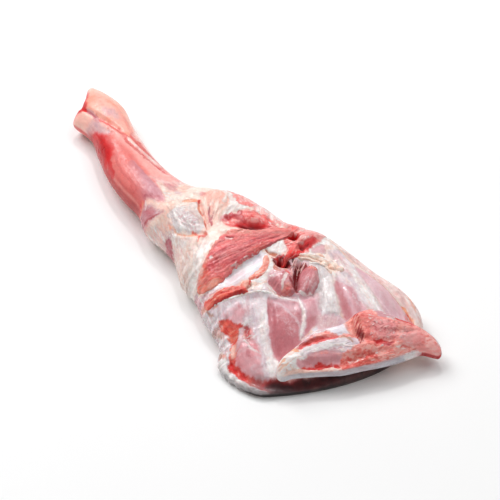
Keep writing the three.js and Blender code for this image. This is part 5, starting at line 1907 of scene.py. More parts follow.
@dataclass
class Flap:
    """The flap of coarse meat and fat that is folded over the near right of the broad end."""

    mould: Mould = Mould(rows=290, columns=216, crowding=1, nose_at_start=8, nose_at_end=10, sunk=0)
    turn: float = 48.0
    ribs: tuple[Rib, ...] = (
        Rib((155, -57, 21), (144, -54, 25), 0, 1, 0, 14),
        Rib((159, -47, 21), (143, -43, 31), 3, 0.5, 0, 14),
        Rib((168, -36, 21), (144, -28, 34), 3, 0.4, 0, 14),
        Rib((178, -25, 21), (144, -16, 36), 4, 0.35, 0, 14),
        Rib((188, -14, 21), (145, -5, 37), 4, 0.35, 0, 14),
        Rib((197, 1, 21), (151, 4, 37), 4, 0.35, 0, 14),
        Rib((205, 13, 21), (157, 15, 38), 5, 0.35, 0, 14),
        Rib((212, 26, 21), (159, 30, 40), 6, 0.35, 0, 13),
        Rib((217, 38, 21), (166, 42, 41), 6, 0.35, 0, 12),
        Rib((221, 47, 21), (183, 51, 37), 5, 0.4, 0, 12),
        Rib((227, 52, 20), (202, 62, 31), 3, 0.6, 0, 10),
        Rib((232, 57, 16), (220, 69, 25), 0, 1, 5, 7),
    )
    relief: Relief = (
        Ridge(((158, -54), (168, -36), (188, -14), (205, 12), (217, 38), (226, 53)), 5, 1.6),
        Ridge(((158, -38), (174, -20), (190, 4)), 6, -2.4),
        Ridge(((149, -30), (155, -14), (166, 4)), 3.5, -1.8),
        Ridge(((162, 20), (170, 14), (180, 14), (188, 22)), 4.5, -2.6),
        Mound((151, -43), 14, 9, 65, 2.4),
        Mound((166, 30), 11, 8, 40, 1.6),
        Mound((184, 36), 30, 9, 24, 1.8),
        Ridge(((186, 18), (191, 22.4), (196, 29.6), (202, 36)), 3, -1.4),
        Mound((164, -6), 14, 8, 50, 1.2),
        Mound((188, 16), 9, 6, 50, 1.6),
        Mound((205, 38), 12, 7, 70, 1.6),
        Ridge(((184, -4), (194, 12), (203, 28)), 3, -1.2),
        Ridge(((192, 34), (200, 44), (208, 56)), 3, -1.4),
    )
    marks: Marks = (
        Patch(Tissue.WHITE_FAT, ((138, -56), (150, -64), (162, -56), (166, -44), (164, -36), (153, -22),
            (140, -30), (136, -44)), 60, 1, 1.8, 1),
        Veil(Patch(Tissue.PEACH_FAT, ((140, -50), (150, -56), (160, -46), (158, -32),
            (148, -30)), 60, 0.6, 3, 1), 4.5, 2.5, 0.25),
        Streak(Tissue.ORANGE, ((146, -55), (146.6, -49), (148, -44)), 0.8, 0.8, -0.3),
        Streak(Tissue.ORANGE, ((150, -56), (150, -50), (152, -45)), 0.7, 0.6, -0.3),
        Streak(Tissue.SEAM_AND_SHADE, ((144.6, -54), (146, -51), (149, -49)), 0.9, 0.6, -0.3),
        Streak(Tissue.ORANGE, ((144, -34), (147, -32), (150, -31)), 1.6, 0.8),
        # The inner corner and the red stripe under the membrane.
        Patch(Tissue.PINK_MEMBRANE, ((140, -28), (142, -8), (148, 6), (156, 8), (160, 4), (152, -8),
            (148, -26)), 70, 1, 2, 1),
        Veil(Patch(Tissue.WHITE_FAT, ((141, -26), (144, -6), (152, 4), (156, 0), (150, -12),
            (147, -26)), 70, 0.9, 2, 1), 3, 4, 0.3),
        Patch(Tissue.CUT_MUSCLE, ((147, -29), (152, -14), (161, -2), (166, 1), (153.6, -20),
            (150.4, -28)), 62, 1, 1.4, 0.7, -0.6),
        Streak(Tissue.RIM_RED, ((149.6, -24), (153, -15), (158, -7)), 0.9, 0.7, -0.3),
        Patch(Tissue.MEMBRANE, ((152, -30), (154, -20), (170, 5), (186, 18), (192, 20), (193, 15), (180, -2),
            (172, -8), (160, -24), (156, -32)), 50, 1, 1.6, 0.8, 0.3),
        Patch(Tissue.SILVER, ((158, -24), (164, -14), (172, -5), (182, 2), (188, 8), (186, 2), (168, -16),
            (160, -28)), 50, 0.8, 4, 1),
        Patch(Tissue.WHITE_FAT, ((153, -26), (158, -15), (165, -6), (168, -10), (160, -22)), 52, 0.6, 3, 1),
        Veil(Patch(Tissue.WHITE_FAT, ((153, -26), (162, -8), (176, 6), (188, 14), (184, 4), (168, -12),
            (156, -30)), 50, 0.9, 2, 0.8, 0.3), 2, 7, 0.3),
        Streak(Tissue.BROWN, ((167, 1), (170, 5.6), (175, 7.6), (178, 7)), 0.7, 0.7, -0.3),
        Patch(Tissue.BLUE_MEMBRANE, ((146, 4), (150, 12), (156, 20), (164, 20), (172, 14), (166, 4), (158, 0),
            (152, 0)), 55, 1, 2, 1),
        # The pink muscle and the deep red stripe along the edge.
        Patch(Tissue.PAD, ((155, -38), (160, -28), (172, -11), (178, -7), (183, -8), (182, -16), (174, -26),
            (160, -40)), 48, 1, 2, 1),
        Patch(Tissue.BLADE, ((158, -31), (164, -21), (171, -12), (178, -8), (178, -13),
            (161, -33)), 48, 0.6, 3, 1),
        Patch(Tissue.RIM_RED, ((160, -38), (162.6, -32.4), (167.3, -26), (179.3, -14.4), (185, -11.4),
            (187.6, -14), (163.2, -40)), 48, 0.95, 2.4, 1.6, -0.5),
        Streak(Tissue.CREAM_FAT, ((153, -55), (158.6, -45), (166.4, -35), (186, -13.4),
            (202.6, 13)), 2.3, 0.95, 0.2, 0.5),
        Streak(Tissue.EXPOSED, ((170, -32.6), (187, -13.6), (201, 10)), 1.1, 0.55),
        # The coarse meat with its marbling.
        Patch(Tissue.COARSE, ((180, -8), (184, -13), (190, -10), (212, 26), (218, 40), (212, 56), (200, 52),
            (192, 42), (183, 10), (178, 0)), 62, 1, 2, 1),
        Patch(Tissue.COARSE_RED, ((181, -10), (186, -14), (194, -6), (204, 12), (198, 15), (192, 13),
            (186, 4)), 60, 0.9, 3, 1.6),
        Patch(Tissue.COARSE_RED, ((206, 48), (210, 57), (216, 57), (219, 48), (214, 43)), 66, 0.5, 4, 1.4),
        Veil(Patch(Tissue.COARSE_PALE, ((186, 0), (196, 4), (205, 14), (213, 28), (218, 42), (206, 50),
            (194, 34), (188, 12)), 64, 0.6, 3, 1, 0.2), 1.1, 6, 0.28, False),
        Veil(Patch(Tissue.WHITE_FAT, ((184, -6), (196, 4), (208, 24), (216, 42), (206, 48), (194, 30),
            (186, 8)), 64, 0.7, 2, 1, 0.2), 1.0, 6, 0.07, False),
        Veil(Patch(Tissue.COARSE_RED, ((182, -8), (190, -8), (203, 12), (213, 30), (217, 44), (206, 44),
            (192, 28), (184, 8)), 64, 0.6, 3, 1, -0.3), 1.8, 3, 0.2, False),
        # Painted shade along the groove.
        Streak(Tissue.MAROON_AND_CREASE_SHADE, ((191, 21), (194, 24.6), (198, 28), (201, 33)), 1.1, 0.75, -1.0),
        # The raised lump with its deep folds.
        Patch(Tissue.LUMP, ((155, 23), (156, 33), (161, 39), (168, 40), (181, 39), (203, 57), (210, 58),
            (211, 50), (200, 34), (186, 18.4), (180, 14), (172, 12.6), (164, 16)), 60, 1, 2.4, 0.8),
        Patch(Tissue.COARSE_RED, ((163, 27), (166, 31), (174, 32), (184, 30), (190, 25), (188, 20), (183, 16),
            (175, 14), (168, 17)), 75, 0.35, 5, 1),
        Patch(Tissue.PAD, ((178, 34), (198, 46), (204, 44), (198, 34), (190, 26),
            (182, 26)), 60, 0.5, 6, 1.2),
        Patch(Tissue.COARSE_PALE, ((196, 40), (196, 47), (203, 54), (211, 56), (211, 48),
            (204, 40)), 60, 0.6, 4, 1.2),
        Veil(Patch(Tissue.PALE_LOBE, ((170, 34), (180, 38), (194, 48), (206, 54), (206, 44), (197, 31),
            (188, 22), (176, 24)), 70, 0.8, 3, 1, 0.4), 1.1, 1.8, 0.2, False),
        Veil(Patch(Tissue.MAROON_AND_CREASE_SHADE, ((168, 30), (180, 36), (194, 46), (204, 50), (204, 42), (197, 32),
            (188, 22), (176, 22)), 60, 0.35, 3, 1, -0.4), 1.3, 1.8, 0.16, False),
        # The dark teeth are painted shade in the lump's folds.
        *comb(Tissue.DEEP_RED_AND_SHADE, (162.6, 28.6), (2.4, -1.3), (3.4, -9), 8, 0.6, 0.95),
        *comb(Tissue.CUT_EDGE, (163.8, 28.6), (2.4, -1.3), (3.4, -9), 8, 0.55, 0.75),
        # Painted shade in the hollow at the root of the folds.
        Patch(Tissue.DARK_SHADE, ((174, 20), (177, 20.6), (183, 15.6), (179, 14.6),
            (175, 16)), 75, 0.6, 2, 1, -0.6),
        Streak(Tissue.SPOT, ((189, 21.6), (193, 25.2), (197, 29.8)), 0.9, 0.9, -0.5),
        Patch(Tissue.CUT_EDGE, ((156, 22), (160, 27), (176, 13), (168, 12), (160, 14)), 60, 0.6, 3, 1),
        # The film above the lump, the pale right part and the tongue.
        Patch(Tissue.SILVER, ((164, 42), (170, 40.6), (181, 39.8), (190, 48.6), (196, 53), (203, 60),
            (196, 64), (172, 52)), 24, 0.9, 2, 0.8, 0.2),
        Veil(Patch(Tissue.WHITE_FAT, ((170, 41), (181, 40), (200, 58), (192, 60),
            (178, 52)), 34, 0.8, 2, 1, 0.3), 2.0, 4, 0.22),
        Streak(Tissue.SPOT, ((189, 48.4), (199, 55), (203, 58)), 0.8, 0.8, -0.3),
        Patch(Tissue.PAD, ((202, 40), (202, 50), (209, 57), (216, 57), (217, 48), (213, 41),
            (207, 37)), 60, 0.45, 5, 1.4),
        Patch(Tissue.TONGUE, ((206, 68), (210, 60), (216, 55), (224, 52), (232, 55), (240, 66), (226, 80),
            (212, 80)), 60, 0.95, 3, 1),
        Veil(Patch(Tissue.COARSE_RED, ((208, 66), (214, 57), (224, 53), (234, 57), (230, 74),
            (214, 76)), 60, 0.6, 3, 1), 1.6, 2, 0.22, False),
        # The edge: a thin line of fat, then a grey band down the rim's wall, and below it a brown band of
        # painted shade.
        Streak(Tissue.RIM_FAT, ((144, -60), (156, -56), (162, -46), (170, -36), (189, -14), (205, 12),
            (212, 26), (217, 38), (220, 47)), 1.2, 1, 0.3, 0.3),
        Patch(Tissue.EDGE_GREY, ((120, -80), (120, 90), (250, 90), (250, -80)), 40, 0.9, 3, 0.2, 0, -2.0,
            0.74),
        Patch(Tissue.WHITE_FAT, ((126, -76), (128, -24), (146, -34), (154, -52),
            (156, -76)), 40, 0.75, 6, 0.6, 0, -0.4, 0.95),
        # Painted shade: the lower part of the flap's wall is laid brown-red.
        Patch(Tissue.SEAM_AND_SHADE, ((120, -80), (120, 90), (250, 90), (250, -80)), 40, 0.8, 3, 0.2, 0, -2.0, -0.5),
        Patch(Tissue.COVER, ((130, -70), (130, 90), (250, 90), (250, -70)), 0, 0.9, 3, 1, 0, -2.0, -0.9),
        Patch(Tissue.TONGUE, ((217, 44), (217, 50), (238, 76), (252, 64), (240, 40),
            (226, 38)), 60, 1, 2, 0.5, 0, -2, 0.95),
        # Painted shade: the tongue's lower wall is laid deep red.
        Patch(Tissue.DEEP_RED_AND_SHADE, ((219, 44), (218, 51), (238, 78), (256, 64), (240, 38),
            (228, 38)), 60, 0.95, 2, 0.5, -0.2, -2, 0.45),
        Streak(Tissue.RIM_FAT, ((214, 33), (217.6, 41), (220, 47.4)), 1.4, 0.8, 0.4),
    )

    def build(self, material: bpy.types.Material) -> None:
        """Makes the flap."""
        grid = loft(self.ribs, self.mould, self.relief)
        covered("flap", grid, Tissue.COARSE, self.turn, self.marks, Seed.FLAP, material)


def laid(
    name: str,
    strip: Strip,
    tissue: Tissue,
    turn: Turn,
    ground: Ground,
    material: bpy.types.Material,
    marks: Marks = (),
    relief: Relief = (),
) -> None:
    """Makes a piece that lies on the leg.

    Args:
        name: the piece's name.
        strip: its shape.
        tissue: what it is made of.
        turn: the direction of its strands, in degrees from +X, or the place that they fan out from.
        ground: what it lies on.
        material: its finish.
        marks: what else is laid on it.
        relief: what rises from its top.
    """
    covered(name, strip.grid(ground, relief), tissue, turn, marks, Seed.LAYER, material)


@dataclass
class BreastMuscle:
    """The cut end of the breast muscle, with strands that fan out from its far end."""

    turn: Point = (86.0, 82.0)
    strip: Strip = Strip(
        ((67, 52), (60, 46), (52, 36.5), (45, 27.5), (38, 19.5), (31.5, 13), (28, 7), (27.5, 0), (28, -8),
            (31, -18), (34, -27), (37, -36), (42, -43)),
        ((71, 49), (69.5, 42), (68, 34), (66, 26), (63.5, 17), (62, 9), (60, 1), (58.5, -7), (57.5, -15),
            (57, -22), (57.5, -29), (55, -36), (50, -43)),
        (0.5, 1.2, 1.6, 1.8, 1.9, 2.0, 2.2, 2.4, 2.4, 2.2, 2.0, 1.6, 0.8),
        crown=0.6,
        round=0.12,
        jag=0.9,
        rows=190,
        columns=110,
    )
    relief: Relief = (
        Ridge(((38, -12), (45.6, -2), (50, 10), (56, 23), (62, 35)), 1.3, -0.3),
        Ridge(((40, -30), (48, -12), (54, 6), (60, 22), (66, 38)), 1.4, -0.4),
        Ridge(((50, -28), (55, -8), (60, 10), (64, 24)), 1.4, -0.3),
        Ridge(((34, -4), (42, 10), (50, 24), (60, 40)), 1.5, -0.3),
    )
    marks: Marks = (
        Patch(Tissue.CUT_LIGHT, ((66, 53), (54, 42), (34, 18), (29, 8), (34, 5), (58, 34), (70, 38),
            (72, 50)), turn, 0.9, 4, 1.5),
        Patch(Tissue.CUT_EDGE, ((30, 12), (36, 18), (44, 24), (50, 30), (46, 20), (38, 10),
            (31, 6)), turn, 0.55, 4, 1.5),
        Patch(Tissue.CUT_END, ((32, -22), (38, -26), (48, -30), (58, -24), (60, -36), (50, -50),
            (36, -46)), turn, 0.9, 5, 2),
        Patch(Tissue.CUT_EDGE, ((26, 6), (30, 6), (30, -4), (32, -16), (41, -40), (36, -44),
            (28, -20)), turn, 0.75, 2.4, 1),
        Patch(Tissue.PINK_FAT, ((30, -22), (33, -22), (40, -40), (37, -44), (31, -30)), turn, 0.6, 2, 1),
        Patch(Tissue.CUT_EDGE, ((49, -37), (52, -30), (57, -27), (59, -33), (55, -38)), turn, 0.8, 2.4, 1),
        Patch(Tissue.MAROON_AND_CREASE_SHADE, ((38, -28), (39, -22), (44, -18), (50, -20), (48, -25),
            (43, -29)), turn, 0.45, 3, 1.4),
        Patch(Tissue.RIM_RED, ((58, 10), (60, 20), (66, 22), (67, 16), (63, 9)), turn, 0.6, 3, 1.2),
        Patch(Tissue.WINDOW, ((40, -10), (44, 2), (52, 6), (58, 2), (56, -12), (48, -18)), turn, 0.3, 6, 2),
        Veil(Patch(Tissue.CUT_LIGHT, ((28, 4), (44, 26), (66, 50), (70, 42), (62, 8), (58, -24), (40, -40),
            (30, -14)), turn, 0.7, 2, 0.5, 0.3), 1.0, 24, 0.35),
        Veil(Patch(Tissue.WINDOW, ((30, 2), (46, 24), (66, 46), (68, 38), (62, 10), (58, -22), (42, -32),
            (32, -14)), turn, 0.35, 2, 0.5, -0.3), 1.0, 26, 0.12),
        Streak(Tissue.WHITE_FAT, ((33, 1.6), (36, 3), (39, 5)), 0.7, 0.7, 0.4),
        # Painted shade beside the raised white line.
        Streak(Tissue.DARK_SHADE, ((33, 3), (36, 4.6), (39, 6.6)), 0.5, 0.6, -0.5),
        Streak(Tissue.WHITE_FAT, ((35.6, -20.6), (38.4, -19.4)), 1.2, 0.8, 0.4),
        Veil(Patch(Tissue.WHITE_FAT, ((56, -14), (58, 0), (61, 12), (64.6, 12),
            (59.6, -14)), 75, 0.7, 1.2, 0.5, 0.3), 1.6, 1.6, 0.2, False),
        Streak(Tissue.WINDOW, ((71, 46), (66.2, 24), (64, 15)), 0.8, 0.8, -0.4),
    )

    def build(self, ground: Ground, material: bpy.types.Material) -> None:
        """Makes the muscle."""
        laid("breast_muscle", self.strip, Tissue.CUT_MUSCLE, self.turn, ground, material, self.marks,
            self.relief)


@dataclass
class Curl:
    """The red curl of cut muscle: a thick roll by the near edge, its folded tip, and its thin end."""

    roll_turn: float = 58.0
    tip_turn: float = -45.0
    thin_turn: float = 80.0
    roll: Strip = Strip(
        ((63, -51.6), (67.4, -44.6), (70.4, -38.8), (73.4, -33.8), (76.6, -29), (80.4, -24.6), (82.6, -19.6)),
        ((54.6, -48.6), (57.8, -41), (60.4, -35.2), (63.4, -30.2), (67.4, -25.8), (71.6, -22.2), (76, -18.6)),
        (0.5, 1.8, 2.6, 2.4, 3.0, 2.6, 1.6),
        crown=0.8,
        round=0.6,
        jag=0.9,
        rows=100,
        columns=56,
    )
    tip: Strip = Strip(
        ((73, -21.6), (77.6, -20.6), (80, -16.6), (79, -12.6)),
        ((71.6, -18.4), (72.6, -14.4), (75, -11.6), (77, -11)),
        (0.8, 2.2, 2.6, 1.6),
        crown=0.8,
        round=0.6,
        jag=0.7,
        rows=60,
        columns=40,
    )
    thin: Strip = strand(
        ((73.6, -11), (76.2, -5), (77, 2), (75.6, 8), (72.4, 12.6), (68.6, 15.6)), 3.4, (0.5, 0.6, 0.6, 0.6,
            0.5, 0.2)
    )
    marks: Marks = (
        # Painted shade: the roll's lower, near half is laid deep red.
        Patch(Tissue.DEEP_RED_AND_SHADE, ((66, -43), (75, -27), (79, -22.6), (82, -24), (77, -30),
            (68, -46)), 60, 0.75, 3, 0.6, -0.2),
        Veil(Patch(Tissue.CUT_EDGE, ((57, -50), (60, -38), (66, -28), (75, -20), (77, -24), (69, -33),
            (64, -46)), 58, 0.9, 1.5, 0.6, 0.3), 1.6, 5, 0.35),
        Streak(Tissue.RIM_RED, ((60, -49), (63, -42), (70, -31)), 0.7, 0.8, -0.5),
        Streak(Tissue.WHITE_FAT, ((57.6, -46), (60.6, -39), (64, -33.6)), 0.7, 0.7, 0.3),
        Streak(Tissue.RIM_RED, ((73, -25.6), (75.6, -23.6), (78, -21)), 1.2, 0.8, -0.4),
    )
    tip_marks: Marks = (
        Streak(Tissue.RIM_RED, ((75.6, -11), (77.4, -13.4), (78.6, -16)), 0.8, 0.9, -0.5),
    )
    thin_marks: Marks = (
        Streak(Tissue.CURL, ((74, -11), (78, -5), (79.4, 2), (78, 8), (76, 11)), 2.0, 0.5),
        Streak(Tissue.DEEP_RED_AND_SHADE, ((77, -8), (80, -2), (80.4, 3)), 0.7, 0.5),
        Veil(Patch(Tissue.LOBE_FAT, ((72, -12), (73, 10), (79, 12), (82, 0),
            (78, -12)), 80, 0.8, 2, 0.6, 0.2), 1.4, 5, 0.35),
    )

    def build(self, ground: Ground, material: bpy.types.Material) -> None:
        """Makes the three parts of the curl."""
        laid("curl_roll", self.roll, Tissue.CURL, self.roll_turn, ground, material, self.marks)
        laid("curl_tip", self.tip, Tissue.CUT_EDGE, self.tip_turn, ground, material, self.tip_marks)
        laid("curl_thin", self.thin, Tissue.CUT_EDGE, self.thin_turn, ground, material, self.thin_marks)


def lump(line: Line, half: float, heights: tuple[float, ...], crown: float) -> Strip:
    """A short thick strand, rounded up by its crown: a lump of fat."""
    return strand(line, half, heights, crown=crown, rows=30, columns=20)


def web(line: Line, half: float, heights: tuple[float, ...]) -> Strip:
    """A thin flat strand: a web of membrane."""
    return strand(line, half, heights, round=0.6, sunk=1.0)


@dataclass
class Pit:
    """The two muscle heads in the pit, the red spike beside it, and the strands, lumps and webs over it."""

    near_turn: float = 78.0
    far_turn: float = -62.0
    spike_turn: float = -75.0
    strand_turn: float = 28.0
    short_turn: float = 30.0
    web_turn: float = -60.0
    head_near: Strip = Strip(
        ((83.6, 4), (88, -1), (94, -3.5), (101, -3.5), (107, -1), (111, 4)),
        ((85.6, 9.4), (90, 14), (95.6, 17), (101.2, 16), (106, 12.2), (111, 8.2)),
        (0.6, 1.6, 2.0, 2.0, 1.6, 0.6),
        crown=1.0,
        round=0.5,
        rows=90,
        columns=70,
    )
    head_far: Strip = Strip(
        ((110.4, 10.2), (107.2, 14.2), (104.4, 19.4), (101.8, 25.6), (101.6, 31), (103.2, 36.2)),
        ((118.6, 10.6), (122, 18), (121.5, 24), (119, 30), (114, 35), (108, 39)),
        (0.8, 2.0, 2.4, 2.2, 1.6, 0.8),
        crown=1.0,
        round=0.5,
        rows=90,
        columns=70,
    )
    spike: Strip = Strip(
        ((77, 44), (78.5, 37), (80.4, 31), (83.2, 25), (85.2, 18)),
        ((92, 42), (90, 36), (88, 31), (86.6, 25), (85.8, 18.1)),
        (1.0, 2.2, 3.4, 5.0, 7.0),
        crown=0.8,
        round=0.6,
        rows=70,
        columns=50,
    )
    long_strand: Strip = strand(
        ((86.9, 34.5), (91, 39), (96.5, 43.9), (102.6, 47), (109, 49.5), (115, 52.2), (122, 54)),
        2.7,
        (0.5, 1.2, 1.5, 1.6, 1.5, 1.1, 0.3),
        jag=1.0,
        crown=0.7,
    )
    low_strand: Strip = strand(
        ((89.6, 33.2), (94.6, 37.4), (100, 41), (105.6, 43.4), (112, 46),
            (118, 48)), 1.3, (0.5, 1.4, 1.5, 1.4, 1.1, 0.3), jag=0.6
    )
    lumps: tuple[Strip, ...] = (
        lump(((107, 45.6), (110.6, 47.4), (113.6, 47)), 2.4, (0.4, 1.8, 0.8), 0.6),
        lump(((113.6, 48.4), (117, 50), (120, 49.4)), 2.1, (0.4, 1.7, 0.6), 0.6),
        lump(((118.6, 51.6), (122.6, 53.6), (126, 53)), 2.4, (0.4, 1.6, 0.5), 0.6),
        lump(((98, 47.6), (101.6, 51), (105.6, 52.6)), 1.5, (0.3, 1.3, 0.4), 0.4),
        lump(((112, 44.6), (116.6, 45), (121, 43.6)), 1.3, (0.3, 1.2, 0.4), 0.4),
    )
    short_strand: Strip = strand(
        ((100, 37), (103.6, 40.6), (107, 43.6), (112, 44.6)), 1.1, (0.5, 1.1, 1.1, 0.4), round=0.7
    )
    webs: tuple[Strip, ...] = (
        web(((88.4, 31.6), (90.6, 28.6), (92.4, 25.4), (93.4, 22)), 0.7, (0.5, 1.6, 1.8, 0.6)),
        web(((91, 32.4), (92.6, 29.4), (94.4, 26), (96.4, 22.6)), 0.6, (0.5, 1.8, 1.8, 0.6)),
        web(((94, 34), (95.4, 31), (96.8, 27.4), (99.4, 23)), 0.6, (0.5, 1.8, 2.0, 0.6)),
        web(((97.4, 35.6), (99.2, 31.6), (100.6, 28), (102.4, 23.6)), 0.7, (0.6, 1.6, 1.8, 0.6)),
        web(((91, 27), (94.6, 26), (98, 27.6), (101, 30)), 0.5, (0.5, 1.8, 1.8, 0.6)),
        web(((93, 22.4), (96, 20), (99.4, 17)), 0.8, (0.6, 1.4, 0.6)),
    )
    near_marks: Marks = (
        Patch(Tissue.PINK_MEMBRANE, ((83, 3), (85, 10), (90, 14), (93, 10), (90, 3),
            (86, 1)), 30, 0.8, 2.4, 1),
        Veil(Patch(Tissue.WHITE_FAT, ((83, 4), (85, 10), (89, 12), (90, 7), (86, 2)), 30, 0.85, 2, 0.6, 0.3),
            1.8, 2, 0.3, False),
        Patch(Tissue.CUT_END, ((102, 0), (103, 9), (107, 9), (110, 5), (107, 0)), 60, 0.45, 3, 1),
        Patch(Tissue.WHITE_FAT, ((93, 15.6), (96, 15.6), (101.4, 4), (102, 1),
            (99, 4)), -65, 0.85, 1.4, 0.5, 0.2),
        # Painted shade by the slot, along the near head's far edge.
        Streak(Tissue.SLOT_SHADE_RED, ((99, 13.4), (103, 11.6), (107.6, 9)), 0.9, 0.7),
        Streak(Tissue.WHITE_FAT, ((90, -2.4), (95, -4), (101, -4), (107, -1.6), (111, 3)), 1.0, 0.85, 0.2),
    )
    far_marks: Marks = (
        Patch(Tissue.CUT_END, ((101, 32), (104, 37), (110, 39), (110, 34), (106, 31)), -60, 0.6, 2, 1),
        Patch(Tissue.BLADE_DEEP, ((101, 26), (104, 33), (108, 30), (113, 14), (110, 11),
            (105, 18)), -60, 0.75, 2.4, 1),
        Veil(Patch(Tissue.MEMBRANE, ((104, 36), (108, 22), (114, 13), (121, 18), (119, 30),
            (110, 38)), -62, 0.5, 2, 0.6, 0.1), 2.2, 6, 0.14),
        Streak(Tissue.WHITE_FAT, ((112, 10), (116, 10.4), (120, 13.4), (122.4, 18)), 1.0, 0.9, 0.2),
    )
    spike_marks: Marks = (
        Patch(Tissue.CUT_LIGHT, ((77, 44), (79, 36), (83, 33), (86, 38), (86, 44)), -75, 0.6, 3, 1),
        Patch(Tissue.WEDGE, ((85.6, 30), (85.6, 22), (87.6, 20), (90, 32), (88.6, 36)), -75, 0.5, 2.4, 1),
        Veil(Patch(Tissue.CUT_LIGHT, ((77, 44), (80, 30), (85, 20), (88, 28),
            (91, 43)), -78, 0.9, 2, 0.6, 0.3), 1.4, 8, 0.3),
    )
    strand_marks: Marks = (
        Streak(Tissue.PEACH_FAT, ((88.6, 33.2), (93, 38.4), (98, 42), (121, 52)), 0.8, 0.7, -0.2),
        Streak(Tissue.WHITE_FAT, ((87, 36), (96, 45), (114, 53.4)), 0.9, 0.95, 0.2),
    )

    def build(self, ground: Ground, material: bpy.types.Material) -> None:
        """Makes the heads, the spike, the strands, the lumps and the webs."""
        laid("muscle_head_near", self.head_near, Tissue.HEAD, self.near_turn, ground, material,
            self.near_marks)
        laid("muscle_head_far", self.head_far, Tissue.HEAD, self.far_turn, ground, material, self.far_marks)
        laid("red_spike", self.spike, Tissue.SPIKE, self.spike_turn, ground, material, self.spike_marks)
        yellow = Tissue.YELLOW_FAT
        laid("strand_long", self.long_strand, yellow, self.strand_turn, ground, material, self.strand_marks)
        laid("strand_low", self.low_strand, yellow, self.strand_turn, ground, material)
        laid("strand_short", self.short_strand, Tissue.WHITE_FAT, self.short_turn, ground, material)
        for number, strip in enumerate(self.lumps):
            laid(f"fat_lump_{number}", strip, yellow, self.strand_turn, ground, material)
        for number, strip in enumerate(self.webs):
            laid(f"web_{number}", strip, Tissue.PINK_FAT, self.web_turn, ground, material)


@dataclass
class FatEdge:
    """The free edge of fat that stands over the leg behind the curl."""

    turn: float = 45.0
    ridge: Strip = strand(
        ((61, -50), (66.6, -44.6), (71.6, -37.6), (77.6, -28.6), (84, -18.6), (90, -12), (98, -7),
            (107, -2.6), (116, 2.5)),
        1.3,
        (0.0, 0.1, 0.1, 0.2, 0.2, 0.2, 0.2, 0.1, 0.0),
        rows=140,
    )
    ridge_marks: Marks = (
        Veil(Patch(Tissue.BEIGE_FAT, ((60, -52), (86, -14), (104, -2), (112, -4), (92, -16),
            (76, -36)), 45, 0.8, 2, 0.6), 2.5, 5, 0.25),
    )

    def build(self, ground: Ground, material: bpy.types.Material) -> None:
        """Makes the edge."""
        laid("fat_ridge", self.ridge, Tissue.WHITE_FAT, self.turn, ground, material, self.ridge_marks)


class Leg:
    """The whole leg."""

    def build(self) -> None:
        """Makes every piece, each on the height of the body's upper side."""
        meat = WetMeat("wet_meat").material()
        ground = LegBody().build(meat)
        Flap().build(meat)
        BreastMuscle().build(ground, meat)
        Curl().build(ground, meat)
        Pit().build(ground, meat)
        FatEdge().build(ground, meat)


# The floor, the light and the camera


def direction(azimuth: float, elevation: float) -> Vector:
    """The direction from the leg to something at an azimuth and an elevation, in degrees."""
    a, e = math.radians(azimuth), math.radians(elevation)
    return Vector((math.sin(a) * math.cos(e), -math.cos(a) * math.cos(e), math.sin(e)))


@dataclass(frozen=True)
class Lamp:
    """A soft square light that looks at the leg's middle.

    azimuth is measured as the camera's is, elevation above the floor, both in degrees; away and side are in
    metres and power in watts.
    """

    name: str
    azimuth: float
    elevation: float
    away: float
    side: float
    power: float

    def hang(self, target: Vector) -> None:
        """Puts the light in its place."""
        data = bpy.data.lights.new(self.name, "AREA")
        data.shape = "SQUARE"
        data.size = self.side
        data.energy = self.power
        lamp = bpy.data.objects.new(self.name, data)
        bpy.context.scene.collection.objects.link(lamp)
        back = direction(self.azimuth, self.elevation)
        lamp.location = target + back * self.away
        lamp.rotation_mode = "QUATERNION"
        lamp.rotation_quaternion = back.to_track_quat("Z", "Y")


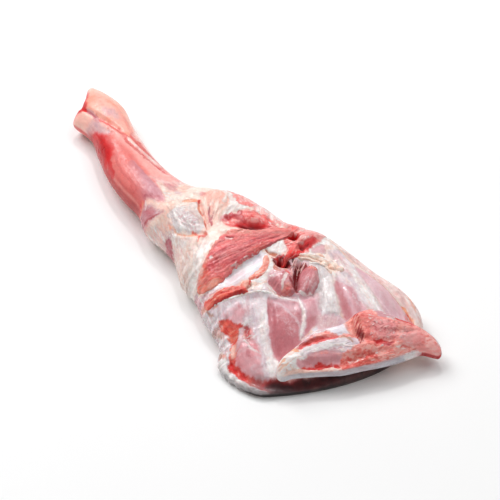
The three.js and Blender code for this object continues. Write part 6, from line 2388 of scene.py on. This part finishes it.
@dataclass(frozen=True)
class Studio:
    """A pale floor, soft lights and the camera at the picture's angle.

    target is what the camera looks at, in the tables' millimetres, as its distance is. floor_half is half the
    floor's side in metres, floor_cells how many cells it has along a side, and sky the strength of the light
    from all around.
    """

    target: tuple[float, float, float] = (38.0, 28.0, 20.0)
    azimuth: float = 44.0
    elevation: float = 50.0
    distance: float = 1070.0
    lens: float = 85.0
    sensor: float = 36.0
    floor_half: float = 6.0
    floor_cells: int = 8
    sky: float = 0.25
    lamps: tuple[Lamp, ...] = (
        Lamp("key_light", -88.0, 52.0, 2.6, 1.5, 46.0),
        Lamp("top_light", 150.0, 62.0, 3.2, 2.2, 30.0),
        Lamp("front_light", 20.0, 30.0, 3.0, 1.6, 4.0),
        Lamp("glint_light", -136.0, 58.0, 2.4, 0.25, 10.0),
    )

    def middle(self) -> Vector:
        """The point that the camera and the lights look at, in the frame's metres."""
        return Vector((self.target[0] - MIDDLE[0], self.target[1] - MIDDLE[1], self.target[2])) * MILLIMETRE

    def lay_floor(self) -> None:
        """Makes the floor, a square of cells at height 0."""
        cells, places = self.floor_cells, self.floor_cells + 1
        side = np.linspace(-self.floor_half, self.floor_half, places)
        x, y = np.meshgrid(side, side, indexing="ij")
        points = np.stack([x.ravel(), y.ravel(), np.zeros(x.size)], axis=1)
        corner = (np.arange(cells)[:, None] * places + np.arange(cells)[None, :]).ravel()
        faces = np.stack([corner, corner + places, corner + places + 1, corner + 1], axis=1)
        mesh = bpy.data.meshes.new("floor")
        mesh.from_pydata(points.tolist(), [], faces.tolist())
        mesh.materials.append(PaleFloor().material())
        floor = bpy.data.objects.new("floor", mesh)
        bpy.context.scene.collection.objects.link(floor)

    def light_sky(self) -> None:
        """Makes the white light that comes from all around."""
        world = bpy.data.worlds.new("studio")
        bpy.context.scene.world = world
        world.use_nodes = True
        sky = world.node_tree.nodes["Background"]
        sky.inputs["Color"].default_value = (1.0, 1.0, 1.0, 1.0)
        sky.inputs["Strength"].default_value = self.sky

    def place_camera(self) -> None:
        """Makes the camera and has the picture show the colours as they are."""
        data = bpy.data.cameras.new("camera")
        data.lens = self.lens
        data.sensor_width = self.sensor
        camera = bpy.data.objects.new("camera", data)
        bpy.context.scene.collection.objects.link(camera)
        back = direction(self.azimuth, self.elevation)
        camera.location = self.middle() + back * self.distance * MILLIMETRE
        camera.rotation_mode = "QUATERNION"
        camera.rotation_quaternion = back.to_track_quat("Z", "Y")
        bpy.context.scene.camera = camera
        bpy.context.scene.view_settings.view_transform = "Standard"

    def build(self) -> None:
        """Makes the floor, the sky, the lamps and the camera."""
        self.lay_floor()
        self.light_sky()
        for lamp in self.lamps:
            lamp.hang(self.middle())
        self.place_camera()
        log.info("studio: %d lamps", len(self.lamps))


def main() -> None:
    """Builds the leg piece by piece, then the studio around it."""
    logging.basicConfig(level=logging.INFO, format="%(name)s %(message)s")
    Leg().build()
    Studio().build()
    bpy.context.view_layer.update()


if __name__ == "__main__":
    main()
